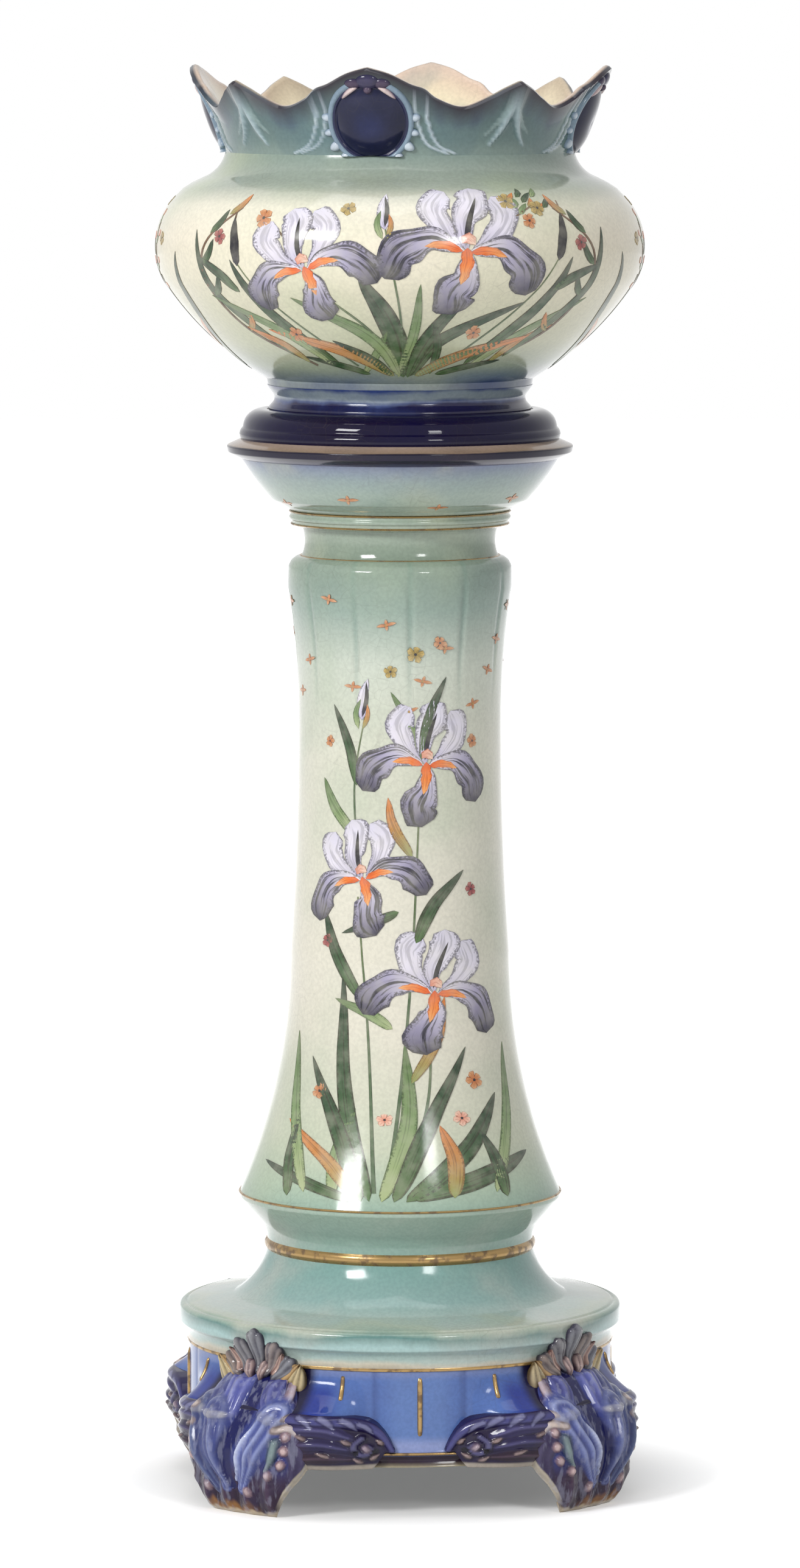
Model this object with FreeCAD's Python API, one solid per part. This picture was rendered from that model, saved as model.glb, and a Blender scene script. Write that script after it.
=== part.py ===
"""Jardiniere on its stand: a glazed earthenware bowl that lifts off a hollow footed pedestal.

The origin is on the floor at the pedestal's axis, with +Z up, and lengths are in millimetres.
The pedestal's four panels face -Y, +X, +Y and -X and its feet stand between them. The bowl is
turned a little on its seat, as it was set down. Each thrown or moulded section of clay is one
solid, and the sections are stacked from the floor up, so a new height moves all that is above it.
"""
import FreeCAD
import Part
import math
import os
from FreeCAD import Vector

os.makedirs("parts", exist_ok=True)

# ------------------------------------------------------------ driving dimensions, stand
WALL = 9.0                  # clay wall of the pedestal
PANELS = 4                  # sides of the base, and its feet
ARCH_HEIGHT = 34.7          # floor to the underside of the arches
APRON_HEIGHT = 68.3         # drum between the arches and the plinth
PLINTH_HEIGHT = 64.5        # disc and the cove that rises from it
BEAD_HEIGHT = 8.0           # gilt bead
COLUMN_BASE_HEIGHT = 32.5   # bell under the column's skirt
SHAFT_HEIGHT = 452.0
NECKING_HEIGHT = 21.0
ASTRAGAL_HEIGHT = 11.0
CAPITAL_HEIGHT = 36.0
PLATE_HEIGHT = 14.0
SEAT_HEIGHT = 21.0          # raised seat under the bowl, with its dish
DISH_DEPTH = 1.5            # shallow dish that keeps the bowl's foot from sliding
DISH_CLEARANCE = 1.5        # between the bowl's foot and the dish, all round

APRON_R = 149.7
PLINTH_R = APRON_R + 6.8
COLUMN_NECK_R = 94.2        # narrowest place, at the gilt bead
PLINTH_TOP_R = COLUMN_NECK_R + 23.8     # where the disc's top turns up into the cove
BEAD_PROUD = 1.2
SKIRT_R = COLUMN_NECK_R + 19.4          # foot of the column's shaft
WAIST_R = 71.3
SHOULDER_R = WAIST_R + 7.4
NECKING_R = SHOULDER_R - 10.4
ASTRAGAL_R = NECKING_R + 7.7
BOWL_FOOT_R = 92.0          # of the bowl, and so of the dish and the seat
SEAT_R = BOWL_FOOT_R + DISH_CLEARANCE + 4.0     # flat of the seat, with a narrow lip round the dish
PLATE_TOP_R = SEAT_R + 14.7             # foot of the raised seat
PLATE_R = PLATE_TOP_R + 9.8
CAPITAL_R = PLATE_TOP_R - 0.7
PLATE_BORE_R = CAPITAL_R - 14.0         # hollow of the top plate and of the seat above it

FLUTES = 12                 # arched panels round the shaft
FLUTE_GROOVE_R = 3.0
FLUTE_GROOVE_DEPTH = 0.8
FLUTE_TOP_GAP = 15.0        # from the shoulder to the top of the grooves
FLUTE_LENGTH = 84.0

FOOT_R = APRON_R + 32.3                 # reach of the feet from the axis
FOOT_BACK_R = APRON_R - WALL - 8.7      # inner end of a foot's side walls
FOOT_SOLE_R = FOOT_R - 11.0             # outer edge of the sole
FOOT_SOLE_HALF = 34.0       # half width of a foot on the floor
FOOT_ARCH_HALF = 54.0       # half width where it meets the arches
FOOT_TOP_HALF = 22.0        # half width at the top
FOOT_WALL = 10.0
FOOT_HEIGHT = ARCH_HEIGHT + APRON_HEIGHT - 7.0
SHELL_R = 19.0              # shell on top of each foot
SHELL_HEIGHT = FOOT_HEIGHT + 11.0       # its centre above the floor
SCROLL_R = APRON_R + 27.8               # reach of the scrolls over the arches
SCROLL_INNER = 31.0         # from a panel's middle to the end of its scrolls
SCROLL_HEIGHT = 50.0        # above the arches
RIB_WIDTH = 4.0             # gilt rib in the middle of each panel
RIB_LENGTH = 43.0
RIB_PROUD = 1.6
SIDE_RIB_ANGLE = 21.0       # short ribs either side of it, degrees
SIDE_RIB_LENGTH = 18.0
RIB_TOP_GAP = 4.0           # below the plinth

# ------------------------------------------------------------ driving dimensions, bowl
BOWL_WALL = 8.0
BOWL_FLOOR = 11.0
BOWL_TURN = -14.3           # turn of the bowl on its seat, degrees
BOWL_FOOT_HEIGHT = 18.5
BELLY_HEIGHT = 163.0
NECK_HEIGHT = 61.0
BOWL_FOOT_WAIST_R = BOWL_FOOT_R - 3.4
BOWL_FOOT_RING = 14.0       # radial width of the foot ring
BELLY_R = 171.9
BOWL_NECK_R = 122.5
RIM_R = BOWL_NECK_R + 25.5
MEDALLIONS = 4
DIP_DEPTH = 27.0            # of the scallops below the tips of the rim
DIP_ANGLE = 27.5            # from a medallion to the lowest place beside it, degrees
DIP_HALF = 30.0             # half width of a scallop's round bottom
MINOR_TIP_DROP = 10.0       # of the tips between the medallions
MEDALLION_R = (NECK_HEIGHT - 8.0) / 2   # fills the neck, with its frame
MEDALLION_RISE = 7.0
MEDALLION_HEIGHT = MEDALLION_R - 4.5    # its centre above the foot of the neck
FRAME_WIDTH = 4.5           # bead frame round a medallion
FRAME_PROUD = 3.0
CREST_R = 8.0               # little shell above each medallion
CREST_PROUD = 3.0

# ------------------------------------------------------------ heights, from the floor up
Z_ARCH = ARCH_HEIGHT
Z_PLINTH = Z_ARCH + APRON_HEIGHT
Z_BEAD = Z_PLINTH + PLINTH_HEIGHT
Z_COLUMN_BASE = Z_BEAD + BEAD_HEIGHT
Z_SHAFT = Z_COLUMN_BASE + COLUMN_BASE_HEIGHT
Z_NECKING = Z_SHAFT + SHAFT_HEIGHT
Z_ASTRAGAL = Z_NECKING + NECKING_HEIGHT
Z_CAPITAL = Z_ASTRAGAL + ASTRAGAL_HEIGHT
Z_PLATE = Z_CAPITAL + CAPITAL_HEIGHT
Z_SEAT = Z_PLATE + PLATE_HEIGHT
Z_BOWL = Z_SEAT + SEAT_HEIGHT - DISH_DEPTH
Z_BELLY = Z_BOWL + BOWL_FOOT_HEIGHT
Z_BOWL_NECK = Z_BELLY + BELLY_HEIGHT
Z_RIM = Z_BOWL_NECK + NECK_HEIGHT

UP = Vector(0, 0, 1)
OUT = Vector(0, -1, 0)      # the way the front panel faces


# ------------------------------------------------------------ outlines
def edges(path):
    """Edges of an outline in the XZ plane. (r, z) is a line there; (r, z, r, z) an arc through the
    first point to the second."""
    made = []
    here = Vector(path[0][0], 0, path[0][1])
    for step in path[1:]:
        there = Vector(step[-2], 0, step[-1])
        if len(step) == 4:
            made.append(Part.Arc(here, Vector(step[0], 0, step[1]), there).toShape())
        else:
            made.append(Part.LineSegment(here, there).toShape())
        here = there
    return made


def turned(path, base=0.0):
    """Solid of revolution of a closed outline, raised to base."""
    closed = list(path) + [path[0][:2]]
    face = Part.Face(Part.Wire(edges(closed)))
    solid = face.revolve(Vector(0, 0, 0), UP, 360)
    solid.translate(Vector(0, 0, base))
    return solid


def filled(path, base=0.0):
    """The same outline, filled to the axis."""
    return turned([(0, path[0][1])] + list(path) + [(0, path[-1][-1])], base)


def shelled(path, wall, base=0.0):
    """A thrown shell: the outline outside, and its inside one wall nearer the axis."""
    outer = edges(path)
    inner = []
    for edge in outer:
        points = []
        for at in (edge.FirstParameter, (edge.FirstParameter + edge.LastParameter) / 2, edge.LastParameter):
            along = edge.tangentAt(at)
            points.append(edge.valueAt(at) + Vector(-along.z, 0, along.x) * wall)
        inner.append(points)
    last = len(inner) - 1
    bottom, top = path[0][1], path[-1][-1]
    joints = [Vector(inner[0][0].x, 0, bottom)]
    for index in range(last):
        joints.append((inner[index][2] + inner[index + 1][0]) * 0.5)
    joints.append(Vector(inner[last][2].x, 0, top))
    back = []
    for index in range(last, -1, -1):
        start, end, middle = joints[index + 1], joints[index], inner[index][1]
        if outer[index].Curve.TypeId == "Part::GeomLine":
            back.append(Part.LineSegment(start, end).toShape())
        else:
            back.append(Part.Arc(start, middle, end).toShape())
    foot, head = Vector(path[0][0], 0, bottom), Vector(path[-1][-2], 0, top)
    rims = [Part.LineSegment(head, joints[-1]).toShape(), Part.LineSegment(joints[0], foot).toShape()]
    face = Part.Face(Part.Wire(outer + [rims[0]] + back + [rims[1]]))
    solid = face.revolve(Vector(0, 0, 0), UP, 360)
    solid.translate(Vector(0, 0, base))
    return solid


def prism(path, depth, start=0.0):
    """An outline in the front panel's plane, carried outwards by depth from start."""
    closed = list(path) + [path[0][:2]]
    face = Part.Face(Part.Wire(edges(closed)))
    solid = face.extrude(OUT * depth)
    solid.translate(OUT * start)
    return solid


def around(shape, degrees):
    """A copy turned about the axis; degrees run from the front towards +X."""
    copy = shape.copy()
    copy.rotate(Vector(0, 0, 0), UP, degrees)
    return copy


def largest(shape):
    """The largest solid of a shape, without the slivers that a cut can leave."""
    return max(shape.Solids, key=lambda solid: solid.Volume)


def mirrored(path):
    """An outline's mirror image across the axis."""
    return [tuple(-value if index % 2 == 0 else value for index, value in enumerate(step)) for step in path]


def export(name, shape):
    """Write one node."""
    shape = shape.removeSplitter()
    print("%-18s solids %d volume %.0f" % (name, len(shape.Solids), shape.Volume))
    shape.exportStep("parts/" + name + ".step")


# ------------------------------------------------------------ base
APRON = [(APRON_R, 0), (APRON_R, APRON_HEIGHT)]
PLINTH_RIM_LOW = 0.22 * PLINTH_HEIGHT
PLINTH_RIM_HIGH = 0.37 * PLINTH_HEIGHT
PLINTH_EDGE = 4.5
PLINTH_DECK = 0.5 * PLINTH_HEIGHT
PLINTH = [
    (APRON_R, 0),
    (APRON_R + 2.0, 0.16 * PLINTH_HEIGHT, PLINTH_R, PLINTH_RIM_LOW),
    (PLINTH_R, PLINTH_RIM_HIGH),
    (PLINTH_R - 1.3, PLINTH_RIM_HIGH + 3.2, PLINTH_R - PLINTH_EDGE, PLINTH_RIM_HIGH + PLINTH_EDGE),
    (PLINTH_TOP_R, PLINTH_DECK),
    (COLUMN_NECK_R + 7.5, PLINTH_DECK + 16.0, COLUMN_NECK_R, PLINTH_HEIGHT),
]


def plinth():
    """Disc with a coved underside, hollow below, and the cove up to the column."""
    inside = [
        (COLUMN_NECK_R - WALL, PLINTH_HEIGHT),
        (COLUMN_NECK_R - 1.0, PLINTH_DECK + 10.0, PLINTH_TOP_R - 1.0, PLINTH_DECK - WALL),
        (APRON_R - WALL, PLINTH_RIM_HIGH - WALL + PLINTH_EDGE),
        (APRON_R - WALL, 0),
    ]
    return turned(PLINTH + inside, Z_PLINTH)


def foot_outline():
    """Front outline of a foot: narrow on the floor, wide at the arches, narrow at its top."""
    waist = 0.62 * FOOT_HEIGHT
    return [
        (FOOT_SOLE_HALF, 0),
        (FOOT_ARCH_HALF, ARCH_HEIGHT),
        (FOOT_ARCH_HALF - 1.0, waist, FOOT_TOP_HALF, FOOT_HEIGHT),
        (-FOOT_TOP_HALF, FOOT_HEIGHT),
        (1.0 - FOOT_ARCH_HALF, waist, -FOOT_ARCH_HALF, ARCH_HEIGHT),
        (-FOOT_SOLE_HALF, 0),
    ]


def foot_block():
    """A foot, filled, standing in front of the apron."""
    section = [
        (FOOT_BACK_R, 0),
        (FOOT_SOLE_R, 0),
        (FOOT_R - 2.5, 0.14 * FOOT_HEIGHT, FOOT_R, 0.30 * FOOT_HEIGHT),
        (FOOT_R - 2.0, 0.62 * FOOT_HEIGHT, APRON_R + 9.0, FOOT_HEIGHT),
        (APRON_R, FOOT_HEIGHT),
        (APRON_R, ARCH_HEIGHT),
        (FOOT_BACK_R, ARCH_HEIGHT),
    ]
    return turned(section).common(prism(foot_outline(), 1.2 * FOOT_R))


def foot():
    """The block, hollow below and behind, with the channel down its face."""
    half, arch = FOOT_SOLE_HALF - FOOT_WALL, FOOT_ARCH_HALF - FOOT_WALL
    start, end = FOOT_BACK_R - arch, FOOT_SOLE_R - FOOT_WALL
    hollow = prism([(half, -1), (arch, ARCH_HEIGHT), (-arch, ARCH_HEIGHT), (-half, -1)], end - start, start)
    channel_r = 7.0
    channel = Part.makeCylinder(channel_r, FOOT_HEIGHT, Vector(0, -FOOT_R - 0.45 * channel_r, 12.0), UP)
    return foot_block().cut(hollow).cut(channel)


def foot_shell(block, plinth_fill):
    """The shell on top of a foot, pressed against the apron and the plinth's cove."""
    ball = Part.makeSphere(SHELL_R)
    squash = FreeCAD.Matrix()
    squash.scale(0.95, 0.62, 0.92)
    ball = ball.transformGeometry(squash)
    ball.translate(OUT * (APRON_R + 4.0) + UP * SHELL_HEIGHT)
    return ball.cut(filled(APRON, Z_ARCH)).cut(plinth_fill).cut(block)


def scroll_band():
    """The ring from which the scrolls over the arches are cut."""
    return turned([
        (APRON_R, 0),
        (SCROLL_R - 6.0, 0),
        (SCROLL_R + 1.5, 0.34 * SCROLL_HEIGHT, SCROLL_R - 7.0, 0.72 * SCROLL_HEIGHT),
        (APRON_R + 8.0, 0.80 * SCROLL_HEIGHT, APRON_R, SCROLL_HEIGHT),
    ], Z_ARCH)


def scroll(side, block):
    """One scroll of the front panel; side is +1 or -1."""
    low, high = Z_ARCH, Z_ARCH + SCROLL_HEIGHT
    outline = [
        (SCROLL_INNER, low),
        (SCROLL_INNER + 6.0, low + 0.66 * SCROLL_HEIGHT, SCROLL_INNER + 30.0, high - 6.0),
        (FOOT_R, high),
        (FOOT_R, low),
    ]
    if side < 0:
        outline = mirrored(outline)
    neighbour = around(block, side * 180.0 / PANELS)
    whole = scroll_band().common(prism(outline, 1.2 * FOOT_R)).cut(neighbour)
    beside = side * 90.0 / PANELS
    middle = around(Part.Vertex(OUT * SCROLL_R + UP * low), beside).Point
    return min(whole.Solids, key=lambda solid: solid.CenterOfMass.distanceToPoint(middle))


def ribs():
    """The gilt rib in the middle of the front panel and the short ones beside it, three solids."""
    top = Z_PLINTH - RIB_TOP_GAP
    drum = filled(APRON, Z_ARCH)
    made = []
    for angle, length in ((-SIDE_RIB_ANGLE, SIDE_RIB_LENGTH), (0, RIB_LENGTH), (SIDE_RIB_ANGLE, SIDE_RIB_LENGTH)):
        bar = Part.makeBox(RIB_WIDTH, RIB_WIDTH, length,
                           Vector(-RIB_WIDTH / 2, -APRON_R - RIB_PROUD, top - length))
        bar = bar.makeFillet(0.3 * RIB_WIDTH, [edge for edge in bar.Edges if edge.BoundBox.YMax < -APRON_R])
        made.append(around(bar.cut(drum), angle))
    return Part.makeCompound(made)


# ------------------------------------------------------------ column
def column_base():
    """Bell that widens from the gilt bead to the column's skirt."""
    path = [
        (COLUMN_NECK_R, 0),
        (COLUMN_NECK_R + 1.5, 0.22 * COLUMN_BASE_HEIGHT, COLUMN_NECK_R + 6.0, 0.42 * COLUMN_BASE_HEIGHT),
        (SKIRT_R, COLUMN_BASE_HEIGHT - 3.0),
        (SKIRT_R, COLUMN_BASE_HEIGHT),
    ]
    return shelled(path, WALL, Z_COLUMN_BASE)


def base_bead():
    """Gilt bead in the narrowest place."""
    outer = COLUMN_NECK_R + BEAD_PROUD
    path = [
        (COLUMN_NECK_R - WALL, 0),
        (COLUMN_NECK_R, 0),
        (outer, BEAD_HEIGHT / 2, COLUMN_NECK_R, BEAD_HEIGHT),
        (COLUMN_NECK_R - WALL, BEAD_HEIGHT),
    ]
    return turned(path, Z_BEAD)


SHAFT = [
    (SKIRT_R, 0),
    (WAIST_R + 0.37 * (SKIRT_R - WAIST_R), 0.18 * SHAFT_HEIGHT,
     WAIST_R + 0.14 * (SKIRT_R - WAIST_R), 0.38 * SHAFT_HEIGHT),
    (WAIST_R + 0.02 * (SKIRT_R - WAIST_R), 0.60 * SHAFT_HEIGHT, WAIST_R, 0.76 * SHAFT_HEIGHT),
    (WAIST_R + 0.25 * (SHOULDER_R - WAIST_R), 0.85 * SHAFT_HEIGHT, SHOULDER_R, 0.95 * SHAFT_HEIGHT),
    (SHOULDER_R, 0.975 * SHAFT_HEIGHT),
    (SHOULDER_R - 2.6, SHAFT_HEIGHT - 3.0, NECKING_R + 1.2, SHAFT_HEIGHT),
]


def shaft():
    """Waisted column with the grooves that part its arched panels."""
    body = shelled(SHAFT, WALL, Z_SHAFT)
    high = Z_SHAFT + SHAFT_HEIGHT - FLUTE_TOP_GAP
    out = FLUTE_GROOVE_R - FLUTE_GROOVE_DEPTH
    top = OUT * (SHOULDER_R + out) + UP * high
    bottom = OUT * (WAIST_R + out) + UP * (high - FLUTE_LENGTH)
    along = top - bottom
    groove = Part.makeCylinder(FLUTE_GROOVE_R, along.Length, bottom, along)
    step = 360.0 / FLUTES
    for index in range(FLUTES):
        body = body.cut(around(groove, (index + 0.5) * step))
    return body


def necking():
    """Plain hollow neck between the shoulder and the astragal."""
    inner = NECKING_R - WALL
    path = [
        (inner, 0),
        (NECKING_R + 1.2, 0),
        (NECKING_R - 1.0, 0.4 * NECKING_HEIGHT, NECKING_R, NECKING_HEIGHT),
        (inner, NECKING_HEIGHT),
    ]
    return turned(path, Z_NECKING)


def astragal():
    """Ring moulding of two steps under the capital."""
    inner = NECKING_R - WALL
    path = [
        (inner, 0),
        (NECKING_R + 3.0, 0),
        (ASTRAGAL_R + 0.6, 0.22 * ASTRAGAL_HEIGHT, ASTRAGAL_R - 1.0, 0.46 * ASTRAGAL_HEIGHT),
        (ASTRAGAL_R + 1.6, 0.72 * ASTRAGAL_HEIGHT, ASTRAGAL_R + 1.6, ASTRAGAL_HEIGHT),
        (inner, ASTRAGAL_HEIGHT),
    ]
    return turned(path, Z_ASTRAGAL)


def capital():
    """Bell that spreads to the top plate."""
    low = ASTRAGAL_R + 1.6
    path = [
        (low, 0),
        (low + 0.36 * (CAPITAL_R - low), 0.20 * CAPITAL_HEIGHT),
        (low + 0.68 * (CAPITAL_R - low), 0.56 * CAPITAL_HEIGHT, CAPITAL_R, CAPITAL_HEIGHT),
    ]
    return shelled(path, WALL, Z_CAPITAL)


def top_plate():
    """Moulded edge that overhangs the capital, open in the middle."""
    path = [
        (PLATE_BORE_R, 0),
        (CAPITAL_R, 0),
        (PLATE_R - 0.8, 0.36 * PLATE_HEIGHT),
        (PLATE_R, 0.78 * PLATE_HEIGHT),
        (PLATE_TOP_R, PLATE_HEIGHT),
        (PLATE_BORE_R, PLATE_HEIGHT),
    ]
    return turned(path, Z_PLATE)


def seat():
    """Raised seat, closed on top, with the dish for the bowl's foot."""
    dish_r = BOWL_FOOT_R + DISH_CLEARANCE
    path = [
        (0, SEAT_HEIGHT - DISH_DEPTH - WALL),
        (PLATE_BORE_R, SEAT_HEIGHT - DISH_DEPTH - WALL),
        (PLATE_BORE_R, 0),
        (PLATE_TOP_R, 0),
        (PLATE_TOP_R + 0.6, 0.22 * SEAT_HEIGHT, PLATE_TOP_R - 1.6, 0.40 * SEAT_HEIGHT),
        (PLATE_TOP_R - 5.0, 0.76 * SEAT_HEIGHT, SEAT_R, SEAT_HEIGHT),
        (dish_r, SEAT_HEIGHT),
        (dish_r, SEAT_HEIGHT - DISH_DEPTH),
        (0, SEAT_HEIGHT - DISH_DEPTH),
    ]
    return turned(path, Z_SEAT)


# ------------------------------------------------------------ bowl
def bowl_foot():
    """Turned foot ring that stands in the dish."""
    inner = BOWL_FOOT_WAIST_R - BOWL_FOOT_RING
    path = [
        (inner, 0),
        (BOWL_FOOT_R - 1.5, 0),
        (BOWL_FOOT_R, 2.5, BOWL_FOOT_R - 1.2, 5.0),
        (BOWL_FOOT_WAIST_R, 0.8 * BOWL_FOOT_HEIGHT, BOWL_FOOT_WAIST_R + 0.6, BOWL_FOOT_HEIGHT),
        (inner, BOWL_FOOT_HEIGHT),
    ]
    return turned(path, Z_BOWL)


BELLY = [
    (BOWL_FOOT_WAIST_R + 5.0, 0.028 * BELLY_HEIGHT),
    (0.80 * BELLY_R, 0.238 * BELLY_HEIGHT, BELLY_R - 6.1, 0.448 * BELLY_HEIGHT),
    (BELLY_R, 0.595 * BELLY_HEIGHT, BELLY_R - 15.2, 0.815 * BELLY_HEIGHT),
    (BOWL_NECK_R + 23.5, 0.865 * BELLY_HEIGHT),
    (BOWL_NECK_R + 6.0, 0.93 * BELLY_HEIGHT, BOWL_NECK_R, BELLY_HEIGHT),
]


def belly():
    """Round body of the bowl: its outline outside, a wall and a floor inside."""
    body = shelled(BELLY, BOWL_WALL, Z_BELLY)
    under = filled([(BOWL_FOOT_WAIST_R + 0.6, 0), BELLY[0]], Z_BELLY)
    slab = Part.makeCylinder(BELLY_R, BOWL_FLOOR, Vector(0, 0, Z_BELLY))
    return body.fuse(under).fuse(filled(BELLY, Z_BELLY).common(slab))


NECK = [
    (BOWL_NECK_R, 0),
    (BOWL_NECK_R + 0.24 * (RIM_R - BOWL_NECK_R), 0.36 * NECK_HEIGHT,
     BOWL_NECK_R + 0.62 * (RIM_R - BOWL_NECK_R), 0.70 * NECK_HEIGHT),
    (RIM_R, NECK_HEIGHT),
]


def scallop():
    """What is cut away beside a tip of the rim: a straight flank, a round dip, a shorter flank."""
    dip = Z_RIM - DIP_DEPTH
    reach = RIM_R * math.sin(math.radians(DIP_ANGLE))
    minor = RIM_R * math.sin(math.radians(180.0 / MEDALLIONS - DIP_ANGLE))
    shoulder = dip + 13.0
    outline = [
        (-reach, Z_RIM),
        (-DIP_HALF - 10.0, shoulder + 3.5),
        (-DIP_HALF, shoulder),
        (0, dip, DIP_HALF, shoulder),
        (minor, Z_RIM - MINOR_TIP_DROP),
        (minor + 4.0, Z_RIM + 10.0),
        (-reach, Z_RIM + 10.0),
    ]
    return outline


def bowl_neck():
    """Flared neck with the scalloped rim: a high tip over each medallion, a low one between."""
    body = shelled(NECK, BOWL_WALL - 1.0, Z_BOWL_NECK)
    right = prism(scallop(), RIM_R + 30.0)
    left = prism(mirrored(scallop()), RIM_R + 30.0)
    for index in range(MEDALLIONS):
        middle = BOWL_TURN + index * 360.0 / MEDALLIONS
        body = body.cut(around(right, middle + DIP_ANGLE)).cut(around(left, middle - DIP_ANGLE))
    return body


def on_neck(height):
    """Place and outward direction of the neck's surface at a height above the neck's foot."""
    level = Part.makeLine(Vector(0, 0, height), Vector(2 * RIM_R, 0, height))
    edge = min(edges(NECK), key=lambda one: one.distToShape(level)[0])
    point = edge.distToShape(level)[1][0][0]
    along = edge.tangentAt(edge.Curve.parameter(point))
    return OUT * point.x + UP * (Z_BOWL_NECK + height), OUT * along.z - UP * along.x


def medallion(bowl_fill):
    """Domed roundel on the front of the neck."""
    place, facing = on_neck(MEDALLION_HEIGHT)
    radius = (MEDALLION_R ** 2 + MEDALLION_RISE ** 2) / (2 * MEDALLION_RISE)
    dome = Part.makeSphere(radius, place - facing * (radius - MEDALLION_RISE + 1.0))
    keep = Part.makeCylinder(MEDALLION_R, 30.0, place - facing * 12.0, facing)
    return largest(dome.common(keep).cut(bowl_fill))


def medallion_frame(bowl_fill):
    """Bead frame round the roundel."""
    place, facing = on_neck(MEDALLION_HEIGHT)
    back = 14.0
    length = back + FRAME_PROUD
    start = place - facing * back
    ring = Part.makeCylinder(MEDALLION_R + FRAME_WIDTH, length, start, facing)
    ring = ring.cut(Part.makeCylinder(MEDALLION_R, length + 2, start - facing, facing))
    front = place + facing * FRAME_PROUD
    outer = [edge for edge in ring.Edges
             if abs((edge.CenterOfMass - front).dot(facing)) < 0.01 and edge.Length > 6.6 * MEDALLION_R]
    return ring.makeFillet(0.45 * FRAME_WIDTH, outer).cut(bowl_fill)


def rim_crest(bowl_fill, frame, roundel):
    """Little shell over the medallion, just under the tip of the rim."""
    place, facing = on_neck(NECK_HEIGHT - CREST_R - 0.5)
    back = 8.0
    disc = Part.makeCylinder(CREST_R, back + CREST_PROUD, place - facing * back, facing)
    front = place + facing * CREST_PROUD
    outer = [edge for edge in disc.Edges if abs((edge.CenterOfMass - front).dot(facing)) < 0.01]
    disc = disc.makeFillet(0.7 * CREST_PROUD, outer)
    return largest(disc.cut(bowl_fill).cut(frame).cut(roundel))


# ------------------------------------------------------------ the nodes
def build_stand():
    """Every node of the pedestal, from the floor up."""
    quarter = 360.0 / PANELS
    block = foot_block()
    plinth_fill = filled(PLINTH, Z_PLINTH)
    one_foot = foot()
    one_shell = foot_shell(block, plinth_fill)
    left, right = scroll(-1, block), scroll(1, block)
    for index in range(PANELS):
        number = str(index + 1)
        export("foot_" + number, around(one_foot, (index + 0.5) * quarter))
        export("foot_shell_" + number, around(one_shell, (index + 0.5) * quarter))
        export("scroll_left_" + number, around(left, index * quarter))
        export("scroll_right_" + number, around(right, index * quarter))
        export("apron_ribs_" + number, around(ribs(), index * quarter))
    export("apron", shelled(APRON, WALL, Z_ARCH))
    export("plinth", plinth())
    export("base_bead", base_bead())
    export("column_base", column_base())
    export("shaft", shaft())
    export("necking", necking())
    export("astragal", astragal())
    export("capital", capital())
    export("top_plate", top_plate())
    export("seat", seat())


def build_bowl():
    """Every node of the bowl, turned as it stands on its seat."""
    export("bowl_foot", bowl_foot())
    export("bowl_belly", belly())
    export("bowl_neck", bowl_neck())
    bowl_fill = filled(NECK, Z_BOWL_NECK).fuse(filled(BELLY, Z_BELLY))
    roundel = medallion(bowl_fill)
    frame = medallion_frame(bowl_fill)
    crest = rim_crest(bowl_fill, frame, roundel)
    for index in range(MEDALLIONS):
        number = str(index + 1)
        turn = BOWL_TURN + index * 360.0 / MEDALLIONS
        export("medallion_" + number, around(roundel, turn))
        export("medallion_frame_" + number, around(frame, turn))
        export("rim_crest_" + number, around(crest, turn))


build_stand()
build_bowl()
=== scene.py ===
"""Looks of a glazed jardiniere on its stand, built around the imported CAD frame.

Sizes are in millimetres in the words below and become metres when a mesh is made. Angles are in degrees,
from the front panel (-Y) towards +X.
"""

import logging
import math
from dataclasses import dataclass, field
from enum import Enum

import bpy
import numpy as np
from mathutils import Matrix, Vector


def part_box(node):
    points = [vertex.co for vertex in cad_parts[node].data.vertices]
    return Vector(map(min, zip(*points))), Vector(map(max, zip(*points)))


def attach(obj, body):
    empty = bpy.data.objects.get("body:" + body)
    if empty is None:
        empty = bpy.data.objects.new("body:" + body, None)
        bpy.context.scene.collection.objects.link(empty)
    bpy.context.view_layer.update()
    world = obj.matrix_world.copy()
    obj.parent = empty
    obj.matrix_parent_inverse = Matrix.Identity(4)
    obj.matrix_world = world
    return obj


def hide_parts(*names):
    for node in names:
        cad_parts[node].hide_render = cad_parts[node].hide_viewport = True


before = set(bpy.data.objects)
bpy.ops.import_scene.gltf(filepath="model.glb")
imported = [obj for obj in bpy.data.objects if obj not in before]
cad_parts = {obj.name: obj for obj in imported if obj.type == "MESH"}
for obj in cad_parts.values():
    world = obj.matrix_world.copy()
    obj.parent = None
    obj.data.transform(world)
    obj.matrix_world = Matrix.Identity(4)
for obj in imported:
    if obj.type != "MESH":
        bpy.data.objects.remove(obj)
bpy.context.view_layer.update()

LOG = logging.getLogger("jardiniere")
MM = 0.001
WHEEL_STEPS = 192           # steps of a turned piece
WIDE_STEPS = 256            # of a wide moulding
RELIEF_STEPS = 384          # of a piece whose relief is modelled after turning
FLUTED_STEPS = 360          # of the fluted shaft

Point = tuple[float, float]
Colour = tuple[float, float, float]


def tint(code: str) -> Colour:
    """Turns a colour code into linear light.

    Args:
        code: Six hexadecimal digits after a hash.

    Returns:
        Red, green and blue in linear light.
    """
    channels = [int(code[i:i + 2], 16) / 255 for i in (1, 3, 5)]
    return tuple(c / 12.92 if c <= 0.04045 else ((c + 0.055) / 1.055) ** 2.4 for c in channels)


def smooth(value: np.ndarray, low: float, high: float) -> np.ndarray:
    """Rises smoothly from 0 at low to 1 at high."""
    share = np.clip((value - low) / (high - low), 0, 1)
    return share * share * (3 - 2 * share)


def blend(first: np.ndarray, second: Colour, share: np.ndarray) -> np.ndarray:
    """Mixes rows of colours with one colour by a share for each row."""
    return first + (np.array(second) - first) * share[:, None]


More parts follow.
